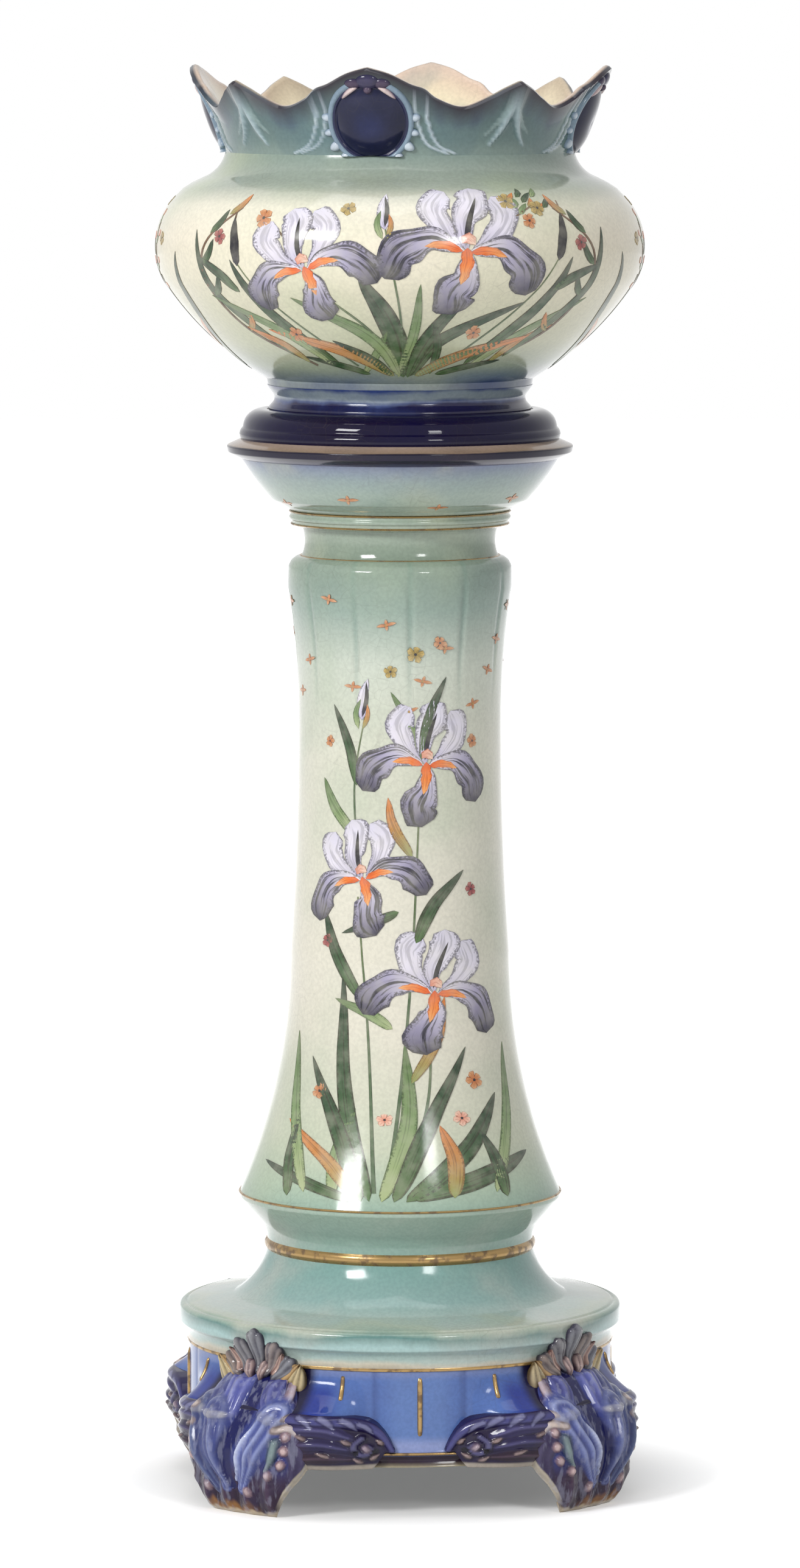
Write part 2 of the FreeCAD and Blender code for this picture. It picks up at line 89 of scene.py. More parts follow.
def plain(code: str, count: int) -> np.ndarray:
    """Rows of one colour."""
    return np.tile(tint(code), (count, 1))


def layered(colours: np.ndarray, *layers: tuple[str, np.ndarray]) -> np.ndarray:
    """Lays colours over rows of colours, each with a share for each row."""
    for code, share in layers:
        colours = blend(colours, tint(code), share)
    return colours


def polar(points: np.ndarray) -> tuple[np.ndarray, np.ndarray]:
    """Distances of points from the axis, and their angles in degrees from the front."""
    return np.hypot(points[:, 0], points[:, 1]), np.degrees(np.arctan2(points[:, 0], -points[:, 1]))


def round_axis(radius: np.ndarray, turn: np.ndarray, z: np.ndarray) -> np.ndarray:
    """Points in metres, from radii and heights in millimetres and turns in radians from the front."""
    return np.column_stack([radius * np.sin(turn), -radius * np.cos(turn), z]) * MM


def level(node: str) -> float:
    """Height of a CAD node's foot, in millimetres."""
    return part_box(node)[0].z / MM


class Slot(Enum):
    """Material slots of the record."""

    COBALT = "cobalt_glaze"
    LILAC = "lilac_glaze"
    NAVY = "navy_glaze"
    GILDING = "gilding"
    TEAL = "teal_glaze"
    CREAM = "cream_glaze"
    AQUA = "aqua_glaze"
    SLATE = "slate_glaze"


class Body(Enum):
    """CAD bodies that pieces ride on."""

    STAND = "stand"
    BOWL = "bowl"


# ------------------------------------------------------------ outlines and forms
@dataclass(frozen=True)
class Run:
    """A straight run of an outline to (r, z), or an arc to it through a middle point."""

    r: float
    z: float
    through: Point | None = None


def arc_points(start: Point, middle: Point, end: Point, spacing: float) -> list[Point]:
    """Samples the arc through three points.

    Args:
        start: Where the arc starts; it isn't repeated in the result.
        middle: A point on the arc.
        end: Where it ends.
        spacing: Distance between samples.

    Returns:
        Points along the arc, ending with its end.
    """
    (ax, ay), (bx, by), (cx, cy) = start, middle, end
    d = 2 * (ax * (by - cy) + bx * (cy - ay) + cx * (ay - by))
    if abs(d) < 1e-9:
        return [end]
    a2, b2, c2 = ax * ax + ay * ay, bx * bx + by * by, cx * cx + cy * cy
    ux = (a2 * (by - cy) + b2 * (cy - ay) + c2 * (ay - by)) / d
    uy = (a2 * (cx - bx) + b2 * (ax - cx) + c2 * (bx - ax)) / d
    radius = math.hypot(ax - ux, ay - uy)
    angles = [math.atan2(y - uy, x - ux) for x, y in (start, middle, end)]
    turn = (angles[2] - angles[0]) % math.tau
    if (angles[1] - angles[0]) % math.tau > turn:
        turn -= math.tau
    count = max(3, math.ceil(abs(turn) * radius / spacing))
    steps = [angles[0] + turn * (i + 1) / count for i in range(count)]
    return [(ux + radius * math.cos(a), uy + radius * math.sin(a)) for a in steps]


def outline(start: Point, runs: tuple[Run, ...], spacing: float = 3.0, rounding: float = 1.1) -> list[Point]:
    """Lists an outline's points, with its arcs sampled and its corners rounded as glaze rounds them."""
    points = [start]
    for run in runs:
        if run.through:
            points += arc_points(points[-1], run.through, (run.r, run.z), spacing)
        else:
            points.append((run.r, run.z))
    return softened(points, rounding)


def softened(points: list[Point], radius: float) -> list[Point]:
    """Rounds an open outline's corners of more than 15 degrees."""
    result = [points[0]]
    for before, corner, after in zip(points, points[1:], points[2:]):
        into, away = Vector(corner) - Vector(before), Vector(after) - Vector(corner)
        if into.length < 1e-6 or away.length < 1e-6:
            continue
        if into.angle(away) < math.radians(15):
            result.append(corner)
            continue
        reach = min(radius, 0.45 * into.length, 0.45 * away.length)
        first = Vector(corner) - into.normalized() * reach
        last = Vector(corner) + away.normalized() * reach
        for share in (0, 0.25, 0.5, 0.75, 1):
            spot = first.lerp(Vector(corner), share).lerp(Vector(corner).lerp(last, share), share)
            result.append((spot.x, spot.y))
    return result + [points[-1]]


class Form:
    """A surface of revolution that ornaments and paint are pressed on."""

    def __init__(self, points: list[Point], base: float) -> None:
        """Keeps the outer line.

        Args:
            points: Its outer line from the foot up, with heights above the base.
            base: Height of the line's zero above the floor.
        """
        line = np.array(points, float)
        self.r, self.z, self.base = line[:, 0], line[:, 1], base
        self.t = np.concatenate([[0], np.cumsum(np.hypot(*np.diff(line, axis=0).T))])

    def along(self, height: float) -> float:
        """Distance along the line at which it reaches a height above the base."""
        return float(np.interp(height, self.z, self.t))

    def radius(self, t: np.ndarray | float) -> np.ndarray | float:
        """Radius at a distance along the line."""
        return np.interp(t, self.t, self.r)

    def place(self, angle: np.ndarray, t: np.ndarray, proud: np.ndarray | float) -> np.ndarray:
        """Finds points on or over the surface.

        Args:
            angle: Degrees from the front.
            t: Distance along the line, in millimetres.
            proud: Height over the surface, in millimetres.

        Returns:
            Coordinates in metres, a row for each point.
        """
        reach = 1.5
        r, z = np.interp(t, self.t, self.r), np.interp(t, self.t, self.z)
        dr = np.interp(t + reach, self.t, self.r) - np.interp(t - reach, self.t, self.r)
        dz = np.interp(t + reach, self.t, self.z) - np.interp(t - reach, self.t, self.z)
        length = np.maximum(np.hypot(dr, dz), 1e-6)
        r, z = r + proud * dz / length, z - proud * dr / length
        return round_axis(r, np.radians(angle), z + self.base)


# ------------------------------------------------------------ the modelling bench
def clear() -> None:
    """Deselects everything."""
    bpy.ops.object.select_all(action="DESELECT")


def pick(piece: bpy.types.Object) -> None:
    """Selects one piece and makes it the active one."""
    clear()
    piece.select_set(True)
    bpy.context.view_layer.objects.active = piece


def ball(segments: int, rings: int, radius: float = 1.0) -> tuple[bpy.types.Object, np.ndarray]:
    """Makes a ball, from which a petal or a lobe is shaped.

    Args:
        segments: Its steps round the axis.
        rings: Its steps from pole to pole.
        radius: Its radius in millimetres.

    Returns:
        The piece, and its points in millimetres.
    """
    clear()
    bpy.ops.mesh.primitive_uv_sphere_add(segments=segments, ring_count=rings, radius=radius * MM)
    piece = bpy.context.object
    return piece, read_points(piece) / MM


def finish_shape(piece: bpy.types.Object, merge: float = 1e-6, crease: float = 180.0) -> None:
    """Closes a new mesh's seams, turns its faces outwards and shades it smooth.

    Args:
        piece: The piece.
        merge: Distance in metres below which points are merged, 0 to leave them.
        crease: Degrees between faces above which an edge stays sharp.
    """
    pick(piece)
    bpy.ops.object.mode_set(mode="EDIT")
    bpy.ops.mesh.select_all(action="SELECT")
    if merge:
        bpy.ops.mesh.remove_doubles(threshold=merge)
    bpy.ops.mesh.normals_make_consistent(inside=False)
    bpy.ops.object.mode_set(mode="OBJECT")
    bpy.ops.object.shade_smooth_by_angle(angle=math.radians(crease))


def turned(name: str, points: list[Point], base: float, steps: int = WHEEL_STEPS) -> bpy.types.Object:
    """Turns a closed outline about the axis, as on a potter's wheel.

    Args:
        name: The piece's name.
        points: The outline as (r, height above the base), going round once.
        base: Height of the outline's zero above the floor.
        steps: Steps of the turn.

    Returns:
        The piece, closed, with its faces outwards.
    """
    clear()
    bpy.ops.mesh.primitive_plane_add(size=MM)
    piece = bpy.context.object
    piece.name = piece.data.name = name
    bpy.ops.object.mode_set(mode="EDIT")
    bpy.ops.mesh.select_all(action="SELECT")
    bpy.ops.mesh.merge(type="CENTER")
    bpy.ops.transform.translate(value=(points[0][0] * MM, 0, (points[0][1] + base) * MM))
    for (r0, z0), (r1, z1) in zip(points, points[1:] + points[:1]):
        bpy.ops.mesh.extrude_region_move(
            TRANSFORM_OT_translate={"value": ((r1 - r0) * MM, 0, (z1 - z0) * MM)})
    bpy.ops.mesh.select_all(action="SELECT")
    bpy.ops.mesh.spin(steps=steps, angle=math.tau, center=(0, 0, 0), axis=(0, 0, 1))
    bpy.ops.object.mode_set(mode="OBJECT")
    finish_shape(piece, crease=45.0)
    return piece


def read_points(piece: bpy.types.Object) -> np.ndarray:
    """Reads a mesh's points, in metres."""
    points = np.empty(len(piece.data.vertices) * 3)
    piece.data.vertices.foreach_get("co", points)
    return points.reshape(-1, 3)


def write_points(piece: bpy.types.Object, points: np.ndarray) -> None:
    """Moves a mesh's points."""
    piece.data.vertices.foreach_set("co", np.ascontiguousarray(points, float).ravel())
    piece.data.update()


def write_colours(piece: bpy.types.Object, name: str, colours: np.ndarray, extra: float = 1.0) -> None:
    """Stores a colour for each point; extra is kept in the fourth channel."""
    layer = piece.data.color_attributes.new(name, "FLOAT_COLOR", "POINT")
    rows = np.column_stack([colours, np.full(len(colours), extra)])
    layer.data.foreach_set("color", rows.ravel())


def blank(name: str, columns: int, rows: int) -> bpy.types.Object:
    """A flat sheet of clay, one unit square about the origin, to be pressed into shape."""
    clear()
    bpy.ops.mesh.primitive_grid_add(x_subdivisions=columns, y_subdivisions=rows, size=1)
    piece = bpy.context.object
    piece.name = piece.data.name = name
    return piece


def thicken(piece: bpy.types.Object, thickness: float, offset: float) -> None:
    """Gives a sheet a wall, in millimetres; an offset of -1 keeps its face where it is."""
    pick(piece)
    wall = piece.modifiers.new("wall", "SOLIDIFY")
    wall.thickness = thickness * MM
    wall.offset = offset
    wall.use_even_offset = False
    bpy.ops.object.modifier_apply(modifier=wall.name)


def join(pieces: list[bpy.types.Object], name: str) -> bpy.types.Object:
    """Joins pieces into one of that name."""
    clear()
    for piece in pieces:
        piece.select_set(True)
    bpy.context.view_layer.objects.active = pieces[0]
    if len(pieces) > 1:
        bpy.ops.object.join()
    pieces[0].name = pieces[0].data.name = name
    return pieces[0]


def seat_piece(piece: bpy.types.Object, material: bpy.types.Material, body: Body, slot: Slot,
               *nodes: str) -> bpy.types.Object:
    """Dresses a finished piece and hands it to the frame.

    Args:
        piece: The piece, in place.
        material: Its finish.
        body: The CAD body that it rides on.
        slot: The record's material slot; not used.
        *nodes: CAD nodes that it stands for.

    Returns:
        The same piece.
    """
    piece.data.materials.clear()
    piece.data.materials.append(material)
    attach(piece, body.value)
    if nodes:
        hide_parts(*nodes)
    LOG.info("%s: %d faces", piece.name, len(piece.data.polygons))
    return piece


# ------------------------------------------------------------ finishes
class Recipe:
    """A material's node tree, with short words for the nodes that a glaze needs."""

    def __init__(self, name: str) -> None:
        """Starts a material with its shader."""
        self.material = bpy.data.materials.new(name)
        self.material.use_nodes = True
        self.tree = self.material.node_tree
        self.shader = self.tree.nodes["Principled BSDF"]
        self.spot = self.node("ShaderNodeTexCoord").outputs["Object"]

    def node(self, kind: str, **settings: object) -> bpy.types.Node:
        """Adds a node and sets its properties."""
        made = self.tree.nodes.new(kind)
        for key, value in settings.items():
            setattr(made, key, value)
        return made

    def feed(self, socket: bpy.types.NodeSocket, value: object) -> None:
        """Links an output to a socket, or sets the socket."""
        if isinstance(value, bpy.types.NodeSocket):
            self.tree.links.new(value, socket)
        elif isinstance(value, tuple) and len(value) == 3 and len(socket.default_value) == 4:
            socket.default_value = (*value, 1)
        else:
            socket.default_value = value

    def math(self, operation: str, first: object, second: object = 0.0) -> bpy.types.NodeSocket:
        """Works out one sum."""
        made = self.node("ShaderNodeMath", operation=operation)
        self.feed(made.inputs[0], first)
        self.feed(made.inputs[1], second)
        return made.outputs[0]

    def spread(self, value: object, low: float, high: float, to_low: float = 0.0,
               to_high: float = 1.0) -> bpy.types.NodeSocket:
        """Maps a range smoothly onto another."""
        made = self.node("ShaderNodeMapRange", interpolation_type="SMOOTHSTEP")
        for socket, amount in zip(made.inputs, (value, low, high, to_low, to_high)):
            self.feed(socket, amount)
        return made.outputs[0]

    def noise(self, scale: float, detail: float = 3.0, vector: object = None) -> bpy.types.NodeSocket:
        """Adds noise on Object coordinates, or on a given vector."""
        made = self.node("ShaderNodeTexNoise")
        self.feed(made.inputs["Vector"], vector or self.spot)
        made.inputs["Scale"].default_value = scale
        made.inputs["Detail"].default_value = detail
        return made.outputs["Fac"]

    def mix(self, share: object, first: object, second: object, way: str = "MIX") -> bpy.types.NodeSocket:
        """Mixes two colours."""
        made = self.node("ShaderNodeMix", data_type="RGBA", blend_type=way)
        self.feed(made.inputs[0], share)
        self.feed(made.inputs[6], first)
        self.feed(made.inputs[7], second)
        return made.outputs[2]

    def ramp(self, value: object, stops: tuple[tuple[float, str], ...]) -> bpy.types.NodeSocket:
        """Colours a value by stops from 0 to 1."""
        made = self.node("ShaderNodeValToRGB")
        marks = made.color_ramp.elements
        while len(marks) < len(stops):
            marks.new(0.5)
        for mark, (place, code) in zip(marks, stops):
            mark.position = place
            mark.color = (*tint(code), 1)
        self.feed(made.inputs[0], value)
        return made.outputs[0]

    def scaled(self, vector: object, factors: tuple[float, float, float]) -> bpy.types.NodeSocket:
        """Multiplies a vector's parts."""
        made = self.node("ShaderNodeVectorMath", operation="MULTIPLY")
        self.feed(made.inputs[0], vector)
        made.inputs[1].default_value = factors
        return made.outputs[0]

    def painted(self, name: str) -> bpy.types.Node:
        """Reads an attribute of the piece's points."""
        return self.node("ShaderNodeAttribute", attribute_name=name)

    def parts(self, vector: object) -> tuple[bpy.types.NodeSocket, ...]:
        """Splits a vector."""
        made = self.node("ShaderNodeSeparateXYZ")
        self.feed(made.inputs[0], vector)
        return tuple(made.outputs)

    def bump(self, height: object, strength: float, distance: float) -> None:
        """Raises the surface by a height, with its distance in millimetres."""
        made = self.node("ShaderNodeBump")
        made.inputs["Strength"].default_value = strength
        made.inputs["Distance"].default_value = distance * MM
        self.feed(made.inputs["Height"], height)
        self.feed(self.shader.inputs["Normal"], made.outputs[0])


@dataclass(frozen=True)
class Glaze:
    """A transparent glaze over coloured slip: banded by height, clouded, darkened along soft upright lines
    where it has flutes, and faintly crazed.
    """

    name: str
    bands: tuple[tuple[float, str], ...]        # height above the floor in mm, colour
    cloud: str = "#8FA79C"                      # colour of its clouding
    clouding: float = 0.25
    cloud_scale: float = 14.0
    flutes: int = 0                             # soft upright lines round the piece
    flute_colour: str = "#6F8A80"
    flute_from: float = 0.0                     # heights over which the lines come in
    flute_to: float = 1.0
    from_points: bool = False                   # takes its colour from the piece's own painting
    roughness: float = 0.12
    ior_level: float = 0.4
    streak: str = "#A7AAC0"                     # colour of pale upright streaks, painted as highlights
    streaks: float = 0.0
    wander: float = 3.0                         # how far the bands stray, mm
    lining: str = ""                            # colour inside, where the piece is marked as lining

    def make(self) -> bpy.types.Material:
        """Builds the material."""
        recipe = Recipe(self.name)
        x, y, z = recipe.parts(recipe.spot)
        cloudy = recipe.noise(self.cloud_scale, 4.0)
        if self.from_points:
            colour = recipe.painted("glaze").outputs["Color"]
        else:
            low, high = self.bands[0][0], self.bands[-1][0]
            stray = recipe.spread(cloudy, 0.2, 0.8, -self.wander * MM, self.wander * MM)
            ragged = recipe.math("ADD", z, stray)
            height = self.linear(recipe, ragged, low * MM, high * MM)
            stops = tuple(((place - low) / (high - low), code) for place, code in self.bands)
            colour = recipe.ramp(height, stops)
        if self.flutes:
            turn = recipe.math("ARCTAN2", x, y)
            wave = recipe.math("SINE", recipe.math("MULTIPLY", turn, self.flutes / 2))
            wave = recipe.math("ABSOLUTE", wave)
            line = recipe.spread(wave, 0.0, 0.28, 1.0, 0.0)
            fade = recipe.spread(z, self.flute_from * MM, self.flute_to * MM)
            share = recipe.math("MULTIPLY", recipe.math("MULTIPLY", line, fade), 0.55)
            colour = recipe.mix(share, colour, tint(self.flute_colour))
        if self.lining:
            colour = recipe.mix(recipe.painted("lining").outputs["Fac"], colour, tint(self.lining))
        share = recipe.spread(cloudy, 0.42, 0.75, 0.0, self.clouding)
        colour = recipe.mix(share, colour, tint(self.cloud))
        # pale upright streaks painted as highlights over the relief
        if self.streaks:
            drawn = recipe.noise(230.0, 3.0, recipe.scaled(recipe.spot, (1.0, 1.0, 0.22)))
            highlight_streak_share = recipe.spread(drawn, 0.5, 0.64, 0.0, self.streaks)
            colour = recipe.mix(highlight_streak_share, colour, tint(self.streak))
        speckle = recipe.spread(recipe.noise(420.0, 2.0), 0.3, 0.7, 0.93, 1.03)
        colour = recipe.mix(1.0, colour, self.grey(recipe, speckle), "MULTIPLY")
        colour = recipe.mix(self.crazing(recipe), colour, tint("#4A4238"))
        recipe.feed(recipe.shader.inputs["Base Color"], colour)
        rough = recipe.spread(recipe.noise(60.0, 2.0), 0.3, 0.7, 0.7 * self.roughness, 1.4 * self.roughness)
        recipe.feed(recipe.shader.inputs["Roughness"], rough)
        recipe.shader.inputs["Specular IOR Level"].default_value = self.ior_level
        recipe.bump(recipe.noise(38.0, 2.0), 0.16, 1.2)
        return recipe.material

    @staticmethod
    def linear(recipe: Recipe, value: object, low: float, high: float) -> bpy.types.NodeSocket:
        """Maps a range evenly onto 0 to 1."""
        made = recipe.node("ShaderNodeMapRange")
        for socket, amount in zip(made.inputs, (value, low, high, 0.0, 1.0)):
            recipe.feed(socket, amount)
        return made.outputs[0]

    @staticmethod
    def grey(recipe: Recipe, value: object) -> bpy.types.NodeSocket:
        """Makes a grey of a number."""
        made = recipe.node("ShaderNodeCombineXYZ")
        for socket in made.inputs:
            recipe.feed(socket, value)
        return made.outputs[0]

    @staticmethod
    def crazing(recipe: Recipe) -> bpy.types.NodeSocket:
        """A faint net of hair cracks in the glaze."""
        net = recipe.node("ShaderNodeTexVoronoi", feature="DISTANCE_TO_EDGE")
        net.inputs["Scale"].default_value = 95.0
        recipe.feed(net.inputs["Vector"], recipe.spot)
        crack = recipe.spread(net.outputs["Distance"], 0.0, 0.03, 1.0, 0.0)
        return recipe.math("MULTIPLY", crack, recipe.spread(recipe.noise(9.0), 0.45, 0.7, 0.0, 0.16))


@dataclass(frozen=True)
class Gilding:
    """Worn gold over glaze."""

    name: str = "worn_gilding"
    gold: str = "#9E8152"
    worn: str = "#6E5638"

    def make(self) -> bpy.types.Material:
        """Builds the material."""
        recipe = Recipe(self.name)
        wear = recipe.spread(recipe.noise(160.0, 5.0), 0.48, 0.66)
        recipe.feed(recipe.shader.inputs["Base Color"], recipe.mix(wear, tint(self.gold), tint(self.worn)))
        recipe.feed(recipe.shader.inputs["Metallic"], recipe.spread(wear, 0.0, 1.0, 0.6, 0.2))
        recipe.feed(recipe.shader.inputs["Roughness"], recipe.spread(wear, 0.0, 1.0, 0.24, 0.4))
        recipe.bump(recipe.noise(300.0, 3.0), 0.12, 0.3)
        return recipe.material


@dataclass(frozen=True)
class Enamel:
    """Painted strokes under the glaze: each with its own fill, outline and veins along it."""

    name: str = "painted_enamel"

    def make(self) -> bpy.types.Material:
        """Builds the material."""
        recipe = Recipe(self.name)
        fill = recipe.painted("fill").outputs["Color"]
        line = recipe.painted("line")
        uv = recipe.node("ShaderNodeUVMap", uv_map="UVMap").outputs[0]
        across = recipe.parts(uv)[0]
        off_middle = recipe.math("SUBTRACT", recipe.math("MULTIPLY", across, 2.0), 1.0)
        tremble = recipe.spread(recipe.noise(700.0, 3.0), 0.2, 0.8, -0.22, 0.22)
        ragged = recipe.math("ADD", recipe.math("ABSOLUTE", off_middle), tremble)
        edge = recipe.spread(ragged, 0.66, 0.98, 0.0, 0.8)
        shifted = recipe.node("ShaderNodeVectorMath", operation="ADD")
        recipe.feed(shifted.inputs[0], recipe.scaled(uv, (9.0, 1.6, 1.0)))
        recipe.feed(shifted.inputs[1], recipe.scaled(recipe.spot, (6.0, 6.0, 6.0)))
        vein = recipe.spread(recipe.noise(1.0, 4.0, shifted.outputs[0]), 0.5, 0.62)
        vein = recipe.math("MULTIPLY", vein, line.outputs["Alpha"])
        share = recipe.math("MAXIMUM", edge, vein)
        colour = recipe.mix(share, fill, line.outputs["Color"])
        wash = recipe.spread(recipe.noise(90.0, 4.0), 0.3, 0.75, 0.0, 0.22)
        colour = recipe.mix(wash, colour, tint("#CFCBB8"))
        recipe.feed(recipe.shader.inputs["Base Color"], colour)
        recipe.feed(recipe.shader.inputs["Roughness"], recipe.spread(recipe.noise(80.0), 0.3, 0.7, 0.1, 0.2))
        recipe.shader.inputs["Specular IOR Level"].default_value = 0.4
        recipe.bump(recipe.noise(240.0, 2.0), 0.1, 0.3)
        return recipe.material


class Finishes:
    """All finishes of the object, made once."""

    def __init__(self) -> None:
        """Mixes the glazes."""
        self.gold = Gilding().make()
        self.enamel = Enamel().make()
        self.painted = Glaze(
            "relief_glaze", (), from_points=True, cloud="#4A4A70", clouding=0.16, cloud_scale=40.0,
            roughness=0.1, ior_level=0.24).make()
        self.relief = Glaze(
            "streaked_relief_glaze", (), from_points=True, cloud="#3A3558", clouding=0.3, cloud_scale=60.0,
            roughness=0.1, ior_level=0.24, streaks=0.28).make()
        self.neck = Glaze(
            "neck_glaze", (), from_points=True, cloud="#4C6C78", clouding=0.4, cloud_scale=22.0,
            roughness=0.1, ior_level=0.3).make()
        self.navy = Glaze(
            "seat_glaze", ((728, "#17122E"), (742, "#0B0730"), (763, "#0D0832")),
            cloud="#1C1220", clouding=0.5, cloud_scale=9.0, roughness=0.06, ior_level=0.2).make()
        self.plate = Glaze(
            "plate_glaze",
            ((728, "#3A3A5A"), (731.5, "#1A1530"), (737.3, "#120E26"), (738.1, "#98826F"),
             (742.2, "#AE9A8C")),
            wander=0.4, cloud="#3A2A30", clouding=0.3, roughness=0.1, ior_level=0.25).make()
        self.belly = Glaze(
            "belly_glaze",
            ((784, "#33446A"), (788, "#687A8A"), (796, "#98A492"), (813, "#C6C7AC"), (845, "#DDD8BF"),
             (885, "#E8E0CC"), (908, "#DEDAC8"), (921, "#A3AB9D"), (943, "#7F918A")),
            cloud="#BCC5A2", clouding=0.55, cloud_scale=8.0, lining="#D9CFB2").make()
        self.foot_ring = Glaze(
            "bowl_foot_glaze",
            ((761, "#100C36"), (768.5, "#15123E"), (770.5, "#4A567C"), (773, "#8E9AA0"), (777, "#7F8C94"),
             (780, "#2E3C6E")),
            cloud="#3C4E86", clouding=0.5, cloud_scale=20.0).make()
        self.shaft = Glaze(
            "shaft_glaze",
            ((208, "#94AC9C"), (222, "#A9BBA6"), (250, "#C6CAB4"), (320, "#DED9C9"), (520, "#DAD8C8"),
             (585, "#C6CDBF"), (625, "#8DA197"), (642, "#7F9389"), (660, "#87978C")),
            cloud="#A9B89F", clouding=0.65, cloud_scale=7.0, flutes=12, flute_from=530, flute_to=640).make()
        self.capital = Glaze(
            "capital_glaze",
            ((660, "#7F8F7F"), (681, "#9BA899"), (692, "#8FA092"), (705, "#A0B1A6"), (716, "#93A4A4"),
             (728, "#76809E")),
            cloud="#BFC4A8", clouding=0.5, cloud_scale=18.0).make()
        self.teal = Glaze(
            "teal_glaze",
            ((103, "#A89C88"), (107, "#C2BCAA"), (110, "#A5BBB4"), (119, "#A0BFBD"), (123, "#7E9C98"),
             (125.5, "#5D8580"), (128, "#8FA598"), (131, "#A9B3A2"), (134, "#9FB2AC"), (142, "#86A5A1"),
             (167, "#789F99"), (174, "#84A398"), (190, "#98AEA2"), (208, "#9DB2A2")),
            cloud="#C3BFB6", clouding=0.45, cloud_scale=16.0).make()


# ------------------------------------------------------------ relief
@dataclass(frozen=True)
class Ridge:
    """A raised band along a spine; a height below zero sinks a channel."""

    spine: tuple[Point, ...]        # across and up, mm
    width: float                    # half width, mm
    height: float
    colour: str
    root: float = 1.0               # share of the width and height where the spine starts
    tip: float = 0.35               # and where it ends
    colouring: float = 1.0          # strength of its colour
    crest: str = ""                 # colour of its top, if it has another
    flutes: int = 0                 # ribs across it
    curl: float = 0.0               # height of the rolled lip where the spine starts
    lip: str = ""                   # colour of that lip


def curve(points: tuple[Point, ...], count: int) -> np.ndarray:
    """Draws a smooth line through points (Catmull-Rom).

    Args:
        points: Where it passes.
        count: Number of samples.

    Returns:
        Samples, a row each.
    """
    given = np.array(points, float)
    if len(given) == 2:
        return given[0] + (given[1] - given[0]) * np.linspace(0, 1, count)[:, None]
    full = np.vstack([2 * given[0] - given[1], given, 2 * given[-1] - given[-2]])
    place = np.linspace(0, len(given) - 1 - 1e-9, count)
    part = place.astype(int)
    u = (place - part)[:, None]
    a, b, c, d = (full[part + i] for i in range(4))
    bend, twist = 2 * a - 5 * b + 4 * c - d, 3 * b - a - 3 * c + d
    return 0.5 * (2 * b + (c - a) * u + bend * u ** 2 + twist * u ** 3)


def curve_at(table: tuple[Point, ...], place: np.ndarray) -> np.ndarray:
    """Reads a smooth curve through a table's points."""
    fine = curve(table, 240)
    return np.interp(place, fine[:, 0], fine[:, 1])


def carve(flat: np.ndarray, colours: np.ndarray, ridges: tuple[Ridge, ...]) -> tuple[np.ndarray, np.ndarray]:
    """Models ridges and channels on a surface laid flat.

    Args:
        flat: Points across and up, mm.
        colours: Their colours before it.
        ridges: What is modelled, later ones over earlier ones.

    Returns:
        The height over the surface in mm, and the colours.
    """
    raised = np.zeros(len(flat))
    for ridge in ridges:
        line = curve(ridge.spine, 26)
        nearest = np.full(len(flat), 1e9)
        share, aside = np.zeros((2, len(flat)))
        for i, (start, end) in enumerate(zip(line, line[1:])):
            run = end - start
            u = np.clip(((flat - start) @ run) / max(run @ run, 1e-9), 0, 1)
            gap = flat - start - u[:, None] * run
            away = np.hypot(*gap.T)
            closer = away < nearest
            nearest[closer] = away[closer]
            aside[closer] = (away * np.sign(gap[:, 0] * run[1] - gap[:, 1] * run[0]))[closer]
            share[closer] = (i + u[closer]) / (len(line) - 1)
        swell = ridge.root + (1 - ridge.root) * smooth(share, 0, 0.3)
        swell *= 1 - (1 - ridge.tip) * smooth(share, 0.45, 1)
        inside = np.clip(1 - (nearest / (ridge.width * swell)) ** 2, 0, 1)
        round_top = np.sqrt(inside) * (0.35 + 0.65 * inside)
        wave = 0.5 + 0.5 * np.cos(math.pi * ridge.flutes * aside / (ridge.width * swell))
        height = ridge.height * swell * round_top * (0.72 + 0.28 * wave)
        rolled = np.exp(-((share - 0.05) / 0.055) ** 2) * np.sqrt(inside)
        height = height + ridge.curl * rolled
        raised = np.maximum(raised, height) if ridge.height > 0 else raised + height
        colours = blend(colours, tint(ridge.colour), np.clip(inside * 2.2, 0, 1) * ridge.colouring)
        if ridge.crest:
            low = 0.15 if ridge.flutes else 0.6
            colours = blend(colours, tint(ridge.crest), smooth(inside, low, 0.97) * 0.9 * wave ** 1.5)
        if ridge.lip:
            colours = blend(colours, tint(ridge.lip), smooth(rolled, 0.35, 0.7) * (0.45 + 0.45 * wave))
    return raised, colours


# ------------------------------------------------------------ painting
class Outline(Enum):
    """Shapes of a painted stroke, from its root to its tip."""

    BLADE = "blade"
    PETAL = "petal"
    STEM = "stem"
    OVAL = "oval"


@dataclass(frozen=True)
class Ink:
    """Colours of a stroke: its fill from root to tip, its outline, and how strongly it is veined."""

    root: str
    middle: str
    tip: str
    line: str
    vein: float = 0.5


